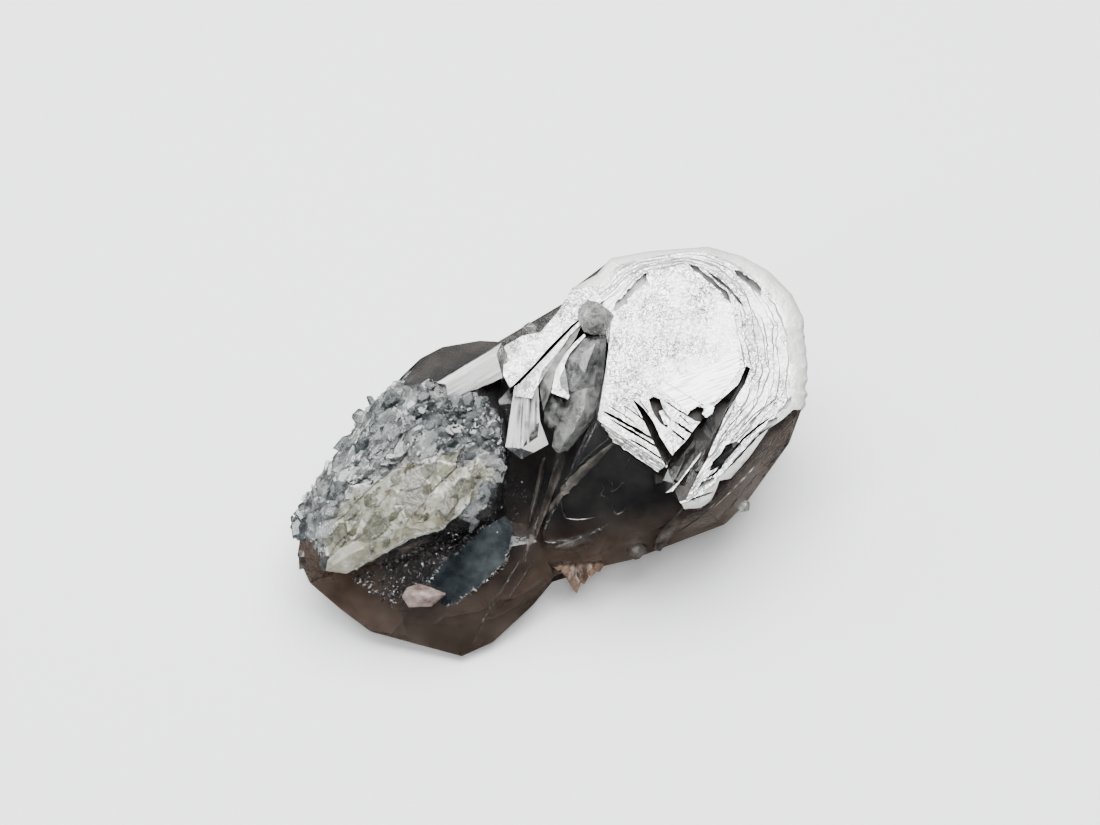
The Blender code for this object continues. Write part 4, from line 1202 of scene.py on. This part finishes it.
CLEAR_CRYSTALS = (
    ("clear crystal upper", (
        (3.5, 4.75, 4.2), (3.3, 2.25, 4.4), (3.0, 0.8, 4.6), (0.6, 1.9, 4.6), (0.95, 3.3, 4.4),
        (2.1, 4.6, 4.3), (2.75, 4.2, 5.1), (2.1, 2.4, 5.8), (0.9, 1.6, 5.1), (1.2, 1.3, 5.3),
        (1.5, 1.2, 2.6), (2.6, 3.8, 2.4), (1.4, 3.3, 5.2),
    )),
    ("clear crystal lower", (
        (3.1, 1.6, 4.7), (2.85, -0.3, 4.6), (1.9, -1.4, 4.6), (1.1, -2.35, 4.5), (0.45, -2.5, 4.5),
        (0.1, -2.1, 4.5), (0.3, -0.9, 4.6), (0.75, 0.2, 4.7), (1.2, 1.2, 4.9), (2.2, 1.5, 5.7),
        (2.1, 0.2, 5.9), (1.4, -1.2, 5.9), (0.75, -2.05, 5.2), (1.2, -0.6, 2.6), (2.6, 1.0, 2.6),
    )),
    ("second lobe", (
        (0.05, 1.15, 4.5), (-0.35, 0.2, 4.5), (-0.4, -0.6, 4.6), (0.05, -1.0, 4.7), (0.5, -0.9, 4.9),
        (0.95, 0.6, 4.8), (0.4, 0.5, 5.3), (0.2, -0.3, 5.3), (0.1, -0.5, 2.8), (0.5, 0.8, 3.0),
    )),
    ("bead", (
        (2.3, 6.95, 4.3), (1.75, 6.35, 4.3), (1.65, 5.9, 4.4), (2.05, 4.95, 4.4), (2.6, 4.75, 4.4),
        (3.35, 4.75, 4.4), (3.75, 5.5, 4.4), (3.95, 5.95, 4.3), (3.6, 6.35, 4.3), (2.9, 6.8, 4.2),
        (2.3, 6.5, 4.95), (2.0, 5.9, 5.1), (2.5, 5.2, 5.1), (3.3, 5.3, 5.1), (3.45, 6.0, 5.0),
        (2.7, 6.0, 5.4), (2.7, 5.8, 3.0),
    )),
)


def clear_crystals():
    """The bead and the long clear crystals in the valley."""
    made = [hull(name, corners) for name, corners in CLEAR_CRYSTALS]
    small = prism("small clear", (-2.9, 2.2, 3.2), (-2.9, 4.2, 4.4), 0.75, 0.8, 0.35, 0.3)
    return [*made, small]


def fluted(name, low, high, seed, depth=0.05, ribs=70, rings=12):
    """A long crystal between two end outlines, with growth lines along it that have a tone each."""
    loops = []
    tones = []
    for i in range(rings):
        share = i / (rings - 1)
        swell = 1.0 + 0.03 * noise.noise(Vector((share * 9.0, seed, 0.0)))
        corners = [Vector(a).lerp(Vector(b), share) for a, b in zip(low, high)]
        middle = sum(corners, Vector()) / len(corners)
        points = []
        for rib in range(ribs):
            point = along([*corners, corners[0]], rib / ribs)
            wave = noise.noise(Vector((rib * 0.9, seed * 3.1, share * 0.8)))
            out = point - middle
            points.append(middle + out * swell + out.normalized() * depth * wave)
            streak = 0.6 * wave + 0.5 * noise.noise(Vector((rib * 0.35, seed * 5.3, share * 2.5)))
            tones.append(eased(-0.3, 0.3, streak + 0.08))
        loops.append(points)
    made = loft(name, loops)
    made.data.attributes.new("tone", "FLOAT", "POINT").data.foreach_set("value", tones)
    return made


def white_prism():
    """The striated prism that points down into the valley."""
    crown = ((-2.2, 1.6, 4.3), (-1.5, 1.95, 4.9), (-0.75, 1.75, 4.6), (-0.7, 1.2, 3.2), (-2.0, 1.0, 3.2))
    shoulder = (
        (-2.75, -2.1, 4.6), (-1.75, -2.2, 5.3), (-0.6, -1.4, 5.0), (-0.6, -1.3, 3.2), (-2.4, -1.9, 3.2),
    )
    point = ((-0.62, -0.5, 4.9), (-1.75, -2.85, 4.7), (-1.0, -2.45, 4.9), (-0.1, -1.95, 4.4))
    body = fluted("white prism", crown, shoulder, 1.0, 0.09)
    tip = hull("white tip", [*shoulder, *point])
    # the tip's faces turned to the light take the lit white, the rest the streaked quartz: painted light
    return dress(body, (STREAKED,)), by_facing(tip, (0.75, -0.1, 0.65), 0.8, LIT_WHITE, STREAKED)


def lying_prism():
    low = ((-7.0, 1.85, 3.2), (-6.4, 1.75, 4.0), (-6.25, 0.75, 3.5), (-5.9, 1.2, 1.8))
    high = ((-3.0, 4.3, 3.0), (-3.3, 3.6, 4.4), (-2.9, 2.1, 4.0), (-2.9, 2.6, 1.8))
    body = fluted("lying prism", low, high, 2.0, 0.06)
    start, way = Vector((-6.6, 1.3, 3.3)), Vector((3.7, 1.9, 0.3)).normalized()
    # faces turned up and towards the front take the lit white, the rest the streaked quartz: painted light
    for face in body.data.polygons:
        out = face.center - start
        out = (out - way * out.dot(way)).normalized()
        face.material_index = 0 if out.dot(Vector((-0.2, 0.5, 0.85))) > 0.2 else 1
    return body


# ---- marks on the dark faces ----
RIDGES = (
    # path in the front view, width, height
    (((621, 434), (603, 450), (586, 466), (570, 482), (545, 512), (534, 532), (528, 545), (525, 560)),
     0.6, 0.12),
    (((593, 419), (586, 434), (580, 447), (570, 472), (560, 484)), 0.16, 0.09),
    (((626, 431), (606, 447), (590, 461), (574, 476), (563, 486)), 0.08, 0.10),
    (((614, 432), (596, 447), (580, 462), (566, 476)), 0.06, 0.10),
    (((568, 484), (562, 492), (561, 500), (562, 510), (566, 517), (576, 518), (588, 517), (600, 514)),
     0.10, 0.05),
    (((612, 500), (612, 508), (616, 513), (622, 510), (625, 505)), 0.13, 0.07),
    (((542, 541), (556, 541), (570, 539), (582, 535), (593, 531), (606, 524)), 0.16, 0.08),
    (((630, 453), (625, 463), (620, 473)), 0.05, 0.04),
    (((598, 478), (603, 486), (600, 493), (606, 496)), 0.07, 0.05),
    (((606, 478), (612, 482), (610, 490), (617, 487), (621, 480), (625, 484)), 0.07, 0.05),
    (((668, 524), (660, 535), (652, 548)), 0.16, 0.09),
    (((762, 468), (748, 482), (732, 503), (716, 519)), 0.16, 0.08),
    (((790, 430), (786, 444), (776, 456), (767, 466)), 0.22, 0.12),
    (((527, 551), (510, 575), (494, 600), (482, 623), (473, 645)), 0.06, 0.05),
    (((534, 560), (518, 583), (503, 604)), 0.04, 0.04),
    (((543, 462), (539, 480), (533, 500), (529, 526)), 0.18, 0.10),
    (((575, 478), (560, 496), (548, 517)), 0.08, 0.05),
    (((712, 502), (696, 517), (672, 534)), 0.09, 0.06),
    (((770, 440), (752, 466), (735, 484), (712, 506)), 0.08, 0.06),
    (((575, 545), (571, 550)), 0.08, 0.05),
)


FRONT_BLADES = (
    # outline in the front view, crest, height of the crest
    (((566, 442), (572, 435), (563, 468), (551, 500), (541, 528), (534, 542), (538, 516), (549, 482)),
     ((565, 450), (552, 490), (541, 520)), 0.35),
    (((541, 455), (547, 452), (545, 474), (538, 500), (532, 524), (527, 530), (530, 508), (538, 480)),
     ((543, 464), (538, 490), (531, 516)), 0.28),
    (((604, 524), (570, 540), (545, 543), (548, 548), (575, 551), (598, 541)),
     ((590, 535), (560, 545)), 0.12),
)


RIDGE_STEP = 0.14


def ridge_along(name, surface, path, width, height, seed):
    """A low ridge with a ragged crest, lying on the surface along the path."""
    dice = random.Random(seed)
    rough = 0.4 if width < 0.3 else 0.15
    path = px(*path)
    steps = max(8, int(path_length(path) / RIDGE_STEP))
    loops = []
    for i in range(steps + 1):
        share = i / steps
        x, y = along(path, share)
        ahead_x, ahead_y = along(path, min(share + 0.02, 1.0))
        behind_x, behind_y = along(path, max(share - 0.02, 0.0))
        place, normal = place_on(surface, x, y)
        way = Vector((ahead_x - behind_x, ahead_y - behind_y, 0.0))
        side = way.cross(normal).normalized()
        taper = min(1.0, 0.15 + 3.0 * min(share, 1.0 - share))
        half = width / 2 * taper * dice.uniform(1.0 - rough, 1.0 + rough)
        crest = normal * height * taper * dice.uniform(1.0 - rough, 1.0 + rough)
        crest += side * half * dice.uniform(-rough, rough)
        sunk = place - normal * 0.12
        foot = normal * 0.02
        loops.append([place - side * half - foot, place + crest, place + side * half - foot, sunk])
    return loft(name, loops)


def grow_ridges(on_body):
    """The broken ridges and scratches on the dark faces."""
    thin, wide = [], []
    for i, (path, width, height) in enumerate(RIDGES):
        made = ridge_along(f"ridge {i}", on_body, path, width, height, 90 + i)
        (wide if width > 0.3 else thin).append(made)
    stand(joined("ridges", thin), "smoky_quartz", RIDGE, smooth_below=25)
    for i, (outline, crown, rise) in enumerate(FRONT_BLADES):
        rim = [place_on(on_body, x, y)[0] - Vector((0.0, 0.0, 0.15)) for x, y in px(*outline)]
        top = [place_on(on_body, x, y)[0] + Vector((0.0, 0.0, rise)) for x, y in px(*crown)]
        wide.append(hull(f"blade {i}", rim + top))
    stand(joined("broad ridges", wide), "smoky_quartz", SMOKY_CHIP, smooth_below=30)


# ---- the whole ----
def ground_cut():
    upward = Vector((0.0, UP_COS, UP_SIN))
    ground = slab("ground", [(-40, -60, 0), (40, -60, 0), (40, 60, 0), (-40, 60, 0)], 40.0)
    ground.data.transform(upward.to_track_quat("Z", "X").to_matrix().to_4x4())
    ground.data.transform(Matrix.Translation(upward * BASE_HEIGHT))
    return ground


def build_cluster():
    glass = (SMOKY, PANEL)
    body = dress(bevelled(smoky_body(), 0.05), glass)
    parts = [*far_side(), valley_floor(), left_hull(), lower_prism()]
    boolean(body, [dress(bevelled(part, 0.05), glass) for part in parts], "UNION")
    boolean(body, [dress(blue_panel(), glass, 1)], "UNION")
    boolean(body, [dress(cutter, glass) for cutter in [*notch_cutters(), ground_cut()]], "DIFFERENCE")
    crust = crust_body()
    on_body = surface_of(body)
    grow_small(on_body, surface_of(crust))
    grow_ridges(on_body)
    stand(body, "smoky_quartz", *glass, smooth_below=20)
    stand(crust, "pale_crust", CRUST, smooth_below=25)

    # the first slot's white is partly a painted reflection of the light above
    face = (PEARLY_REFLECTION, LEDGE, RISER, RIM, WEDGE)
    plates = dress(terrace_body(), face)
    boolean(plates, [with_walls(dress(strip, face), 2) for strip in front_strips()], "UNION")
    cutters = [dress(cutter, face, 2) for cutter in [*notch_cutters(), *strip_gaps()]]
    cutters += [dress(cutter, face, 1) for cutter in [*slot_cutters(), *hollows()]]
    cutters.append(dress(lower_edge(), face, 4))
    boolean(plates, cutters, "DIFFERENCE")
    stand(plates, "pearly_face", *face, smooth_below=30)

    for thing in [*notch_pieces(), *face_plates(), *white_plates()]:
        stand(thing, "pearly_face", *thing.data.materials, smooth_below=20)
    brown, clear, pink, chips = edge_crystals()
    for thing, width, slot, material in (
        (joined("edge crystals", brown), 0.03, "smoky_quartz", BROWN),
        (joined("smoky chips", chips), 0.03, "smoky_quartz", SMOKY_CHIP),
        (cream_tip(), 0.04, "pale_crust", TIP),
        (pink, 0.05, "clear_quartz", PINK),
    ):
        stand(bevelled(thing, width), slot, material, smooth_below=20)
    for thing in [*clear_crystals(), *clear]:
        pale = thing.name in ("clear crystal lower", "bead", "small clear", "right bead")
        stand(bevelled(thing, 0.06, 3), "clear_quartz", PALE_CLEAR if pale else CLEAR, smooth_below=25)
    for thing in white_prism():
        stand(thing, "clear_quartz", *thing.data.materials, smooth_below=35)
    stand(lying_prism(), "clear_quartz", LIT_WHITE, STREAKED, smooth_below=35)


def knob(centre, radii, seed, corners=16):
    """The corners of a rounded, many-faced knob."""
    dice = random.Random(seed)
    points = []
    for i in range(corners):
        height = 1.0 - (2.0 * i + 1.0) / corners
        angle = i * 2.4 + dice.uniform(-0.25, 0.25)
        across = math.sqrt(1.0 - height * height)
        out = Vector((across * math.cos(angle), across * math.sin(angle), height))
        points.append(Vector(centre) + out * Vector(radii))
    return points


BROWN_CRYSTALS = (
    # columns of foot and tip in the front view, and how far below row 563 the tip reaches
    (560, 558, 8), (566, 567, 14), (573, 577, 31), (580, 584, 22), (588, 592, 14), (595, 600, 9),
    (571, 572, 24),
)


def edge_crystals():
    """The small crystals round the edge: the brown ones, and the clear ones."""
    dice = random.Random(21)
    brown = []
    for foot_x, tip_x, reach in BROWN_CRYSTALS:
        (x, y), (end_x, end_y) = px((foot_x, 560), (tip_x, 563 + reach))
        foot = Vector((x, y, -0.6 + dice.uniform(-0.2, 0.2)))
        corners = prism_corners(foot, (end_x, end_y, -0.3), 0.85, 0.7, 0.35, dice.uniform(0.0, 1.0))
        brown.append(hull(f"brown crystal {foot_x}", corners))
    chips = [
        hull("blade", [(8.2, -5.8, 4.2), (8.5, -6.2, 3.4), (6.5, -8.6, 0.6), (6.9, -8.7, 0.0),
                       (8.4, -6.4, 1.5), (6.6, -7.6, 2.6)]),
        hull("end crystal", prism_corners((-14.6, -8.0, 0.6), (-15.6, -9.8, 1.3), 1.3, 1.0, 0.4)),
        hull("corner crystal", prism_corners((5.3, -8.2, 0.3), (5.6, -9.1, 1.1), 1.25, 1.2, 0.45)),
    ]
    clear = [
        hull("left knob", knob((-11.9, -0.25, 0.0), (0.55, 0.55, 0.5), 11, 14)),
        hull("top knob", knob((-1.25, 5.25, 1.2), (0.5, 0.4, 0.45), 12, 14)),
        hull("right bead", knob((12.15, -5.85, -0.4), (0.45, 0.45, 0.5), 13, 14)),
    ]
    pink_edge = px((403, 594), (408, 585), (420, 581), (430, 584), (448, 591), (433, 604), (410, 605))
    pink_crown = px((414, 592), (424, 589), (434, 593), (420, 598))
    corners = [(x, y, 2.7) for x, y in pink_edge] + [(x, y, 3.5) for x, y in pink_crown]
    pink = hull("pink crystal", [*corners, (-8.0, -11.3, 1.2)])
    return brown, clear, pink, chips


def cream_tip():
    """The bright crystal that the cream patch ends in, at its lower left."""
    edge = px((329, 568), (331, 557), (342, 546), (360, 538), (373, 541), (374, 552), (362, 564), (350, 571))
    crown = px((338, 562), (350, 552), (366, 545))
    corners = [(x, y, 4.0) for x, y in edge] + [(x, y, 4.5) for x, y in crown]
    return hull("cream tip", [*corners, (-13.0, -9.3, 2.6)])


SADDLE_REGION = (
    (-8.2, 1.4), (-6.6, 0.9), (-3.2, 2.1), (-2.4, 0.4), (-2.4, -3.2), (-4.6, -2.0), (-6.8, -1.5),
    (-8.6, -0.9),
)
SPARKLE_REGION = ((-12.6, -10.1), (-9.9, -8.9), (-6.3, -7.4), (-4.2, -7.1), (-7.2, -10.4), (-9.8, -12.2))
VALLEY_REGION = ((-4.4, -3.2), (-2.0, -3.2), (-1.3, -5.5), (-2.0, -7.6), (-4.4, -7.4))
BROKEN_AND_HIGHLIT_EDGES = (
    # path in the layout, spacing, size
    (((2.85, -0.6), (1.9, -2.2), (0.9, -4.6), (-0.5, -7.6)), 0.10, 0.05),
    (((-7.5, -10.5), (-6.6, -9.2), (-5.2, -7.7), (-3.8, -6.8)), 0.10, 0.09),
    (((-6.4, -12.0), (-5.4, -11.5), (-4.4, -10.8), (-2.75, -9.3), (-2.4, -8.1), (-1.5, -7.6)), 0.08, 0.11),
    (((-12.3, -10.2), (-11.2, -10.8), (-10.1, -11.4)), 0.16, 0.14),
    (((-0.5, -8.0), (1.0, -7.9), (2.3, -7.6), (3.5, -7.0)), 0.10, 0.06),
    # a prism edge's bright line, laid as pale splinters: painted highlight
    (((-1.45, -8.7), (-2.5, -10.2), (-3.5, -11.75), (-4.25, -13.2), (-4.8, -14.5)), 0.07, 0.045),
)


def scales_over(surface, region, count, size, lean, seed, stretch=1.6, keep_out=()):
    """Slanting plates lying on the surface inside a region, like loose roof tiles."""
    dice = random.Random(seed)
    groups = []
    for place, normal in islice(places_over(surface, region, dice, 30 * count, 0.15, keep_out), count):
        loose = Vector([dice.uniform(-lean, lean) for _ in range(3)])
        way = (normal + Vector((-0.25, -0.3, 0.1)) * lean + loose).normalized()
        longways = (SCALE_WAY + loose * 0.4).cross(way).cross(way).normalized()
        sideways = way.cross(longways)
        reach = size[0] + (size[1] - size[0]) * dice.random() ** 2.2
        thick = reach * dice.uniform(0.25, 0.5)
        start, sides = dice.uniform(0.0, 6.0), dice.choice((5, 6, 6, 7))
        points = []
        for side in range(sides):
            angle = start + math.tau * (side + dice.uniform(-0.3, 0.3)) / sides
            reached = reach * dice.uniform(0.75, 1.1)
            across = longways * math.cos(angle) * reached * stretch + sideways * math.sin(angle) * reached
            points.append(place + across * 0.5 + way * thick * 0.35)
            points.append(place + across * 0.62 - way * thick * 0.65)
        groups.append(points)
    return groups


CREAM_SPECKS = (
    # dark specks on the cream patch, in the front view
    (413, 442), (415, 480), (378, 487), (392, 477), (338, 502), (342, 506), (340, 509), (358, 497),
    (375, 517), (435, 522), (452, 494), (348, 536), (354, 532), (375, 545), (344, 537), (430, 470),
)


def grow_small(on_body, on_crust):
    """The small crystals over the crust and the dark faces, and the splinters along broken edges and along one
    painted highlight line.
    """
    kept_free = (CREAM_REGION, SADDLE_REGION)
    grey = scales_over(on_crust, CRUST_REGION, 300, (0.2, 0.95), 0.6, 30, keep_out=kept_free)
    grey += crystals_over(on_crust, CRUST_REGION, 160, (0.1, 0.32), 0.9, 31)
    stand(many_hulls("crust scales", grey, 1), "clear_quartz", ICE)
    cream = scales_over(on_crust, CREAM_REGION, 34, (0.3, 1.5), 0.2, 35)
    cream += crystals_over(on_crust, CREAM_REGION, 16, (0.08, 0.22), 0.8, 36)
    stand(many_hulls("cream scales", cream, 2), "pale_crust", CREAM_ICE)
    dark = scales_over(on_crust, SADDLE_REGION, 170, (0.2, 0.8), 0.7, 37, 1.1)
    dark += crystals_over(on_crust, SADDLE_REGION, 170, (0.1, 0.45), 1.2, 32)
    stand(many_hulls("saddle crystals", dark, 3), "smoky_quartz", DARK_ICE)
    specks = []
    dice = random.Random(38)
    for x, y in px(*CREAM_SPECKS):
        place, normal = place_on(on_crust, x, y)
        specks.append(splinter(place, normal, 0.1, dice, 1.6))
    stand(many_hulls("dark specks", specks, 6), "smoky_quartz", RISER)
    sparkle = crystals_over(on_body, SPARKLE_REGION, 520, (0.06, 0.26), 1.0, 33)
    sparkle += crystals_over(on_body, VALLEY_REGION, 120, (0.06, 0.16), 1.0, 34)
    stand(many_hulls("dark crystals", sparkle, 4), "smoky_quartz", SPARKLE)
    broken = []
    for i, (path, step, size) in enumerate(BROKEN_AND_HIGHLIT_EDGES):
        broken += splinters_along(on_body, path, step, size, 50 + i)
    stand(many_hulls("splinters", broken, 5), "clear_quartz", SPLINTER)


# ---- the stage ----
CAMERA_DISTANCE = 0.25
FRAME_WIDTH = 0.06875  # what the camera sees across, at the layout's origin
SENSOR = 36.0
FLOOR_WIDTH = 1.2
SOFTBOXES = (
    # name, place and aim in metres, sides, power in watts
    ("overhead softbox", (0.02, 0.03, 0.24), (0.0, 0.0, 0.0), (0.22, 0.22), 1.75),
    ("back softbox", (-0.13, 0.15, 0.17), (0.0, 0.0, 0.0), (0.16, 0.12), 0.2),
    ("left softbox", (-0.25, -0.05, 0.16), (0.0, 0.0, 0.0), (0.05, 0.05), 0.2),
    ("key light", (-0.04, -0.13, 0.24), (0.0, 0.0, 0.008), (0.035, 0.035), 0.10),
)


def add_camera():
    """A long lens at the photograph's viewing angle, aimed at the layout's origin."""
    data = bpy.data.cameras.new("camera")
    data.sensor_width = SENSOR
    data.lens = SENSOR * CAMERA_DISTANCE / FRAME_WIDTH
    data.clip_start = 0.01
    camera = put("camera", data)
    turned = STANDING.to_3x3().normalized().to_4x4()
    aim = Matrix.Translation(STANDING.translation)
    camera.matrix_world = aim @ turned @ Matrix.Translation((0.0, 0.0, CAMERA_DISTANCE))
    bpy.context.scene.camera = camera


def add_softbox(name, place, aim, size, power):
    data = bpy.data.lights.new(name, "AREA")
    data.shape = "RECTANGLE"
    data.size, data.size_y = size
    data.energy = power
    lamp = put(name, data)
    lamp.location = place
    way = Vector(aim) - Vector(place)
    lamp.rotation_euler = way.to_track_quat("-Z", "Y").to_euler()


def add_floor():
    half = FLOOR_WIDTH / 2

    def build(shape):
        corners = ((-half, -half, 0.0), (half, -half, 0.0), (half, half, 0.0), (-half, half, 0.0))
        shape.faces.new([shape.verts.new(corner) for corner in corners])

    floor = new_object("floor", build)
    glow = {"Emission_Color": (1.0, 1.0, 1.0, 1.0), "Emission_Strength": 0.25}
    pale = Nodes("pale floor").made(
        Base_Color=(0.93, 0.94, 0.94, 1.0), Roughness=0.8, Specular_IOR_Level=0.1, **glow
    )
    floor.data.materials.append(pale)
    floor.visible_glossy = False  # the real one lay on dark skin, not on white


def add_world():
    """Bright above and behind, dark towards the front and below."""
    world = bpy.data.worlds.new("studio")
    world.use_nodes = True
    tree = world.node_tree
    shade = tree.nodes["Background"]
    place = tree.nodes.new("ShaderNodeTexCoord")
    turned = tree.nodes.new("ShaderNodeVectorMath")
    turned.operation = "DOT_PRODUCT"
    turned.inputs[1].default_value = (-0.1, 0.45, 0.89)
    ramp = tree.nodes.new("ShaderNodeValToRGB")
    ramp.color_ramp.elements[0].position = 0.0
    ramp.color_ramp.elements[0].color = (0.05, 0.043, 0.04, 1.0)
    ramp.color_ramp.elements[1].position = 0.85
    ramp.color_ramp.elements[1].color = (0.62, 0.66, 0.68, 1.0)
    tree.links.new(place.outputs["Generated"], turned.inputs[0])
    tree.links.new(turned.outputs["Value"], ramp.inputs["Fac"])
    tree.links.new(ramp.outputs["Color"], shade.inputs["Color"])
    shade.inputs["Strength"].default_value = 0.7
    bpy.context.scene.world = world


build_cluster()
add_camera()
add_floor()
add_world()
for softbox in SOFTBOXES:
    add_softbox(*softbox)
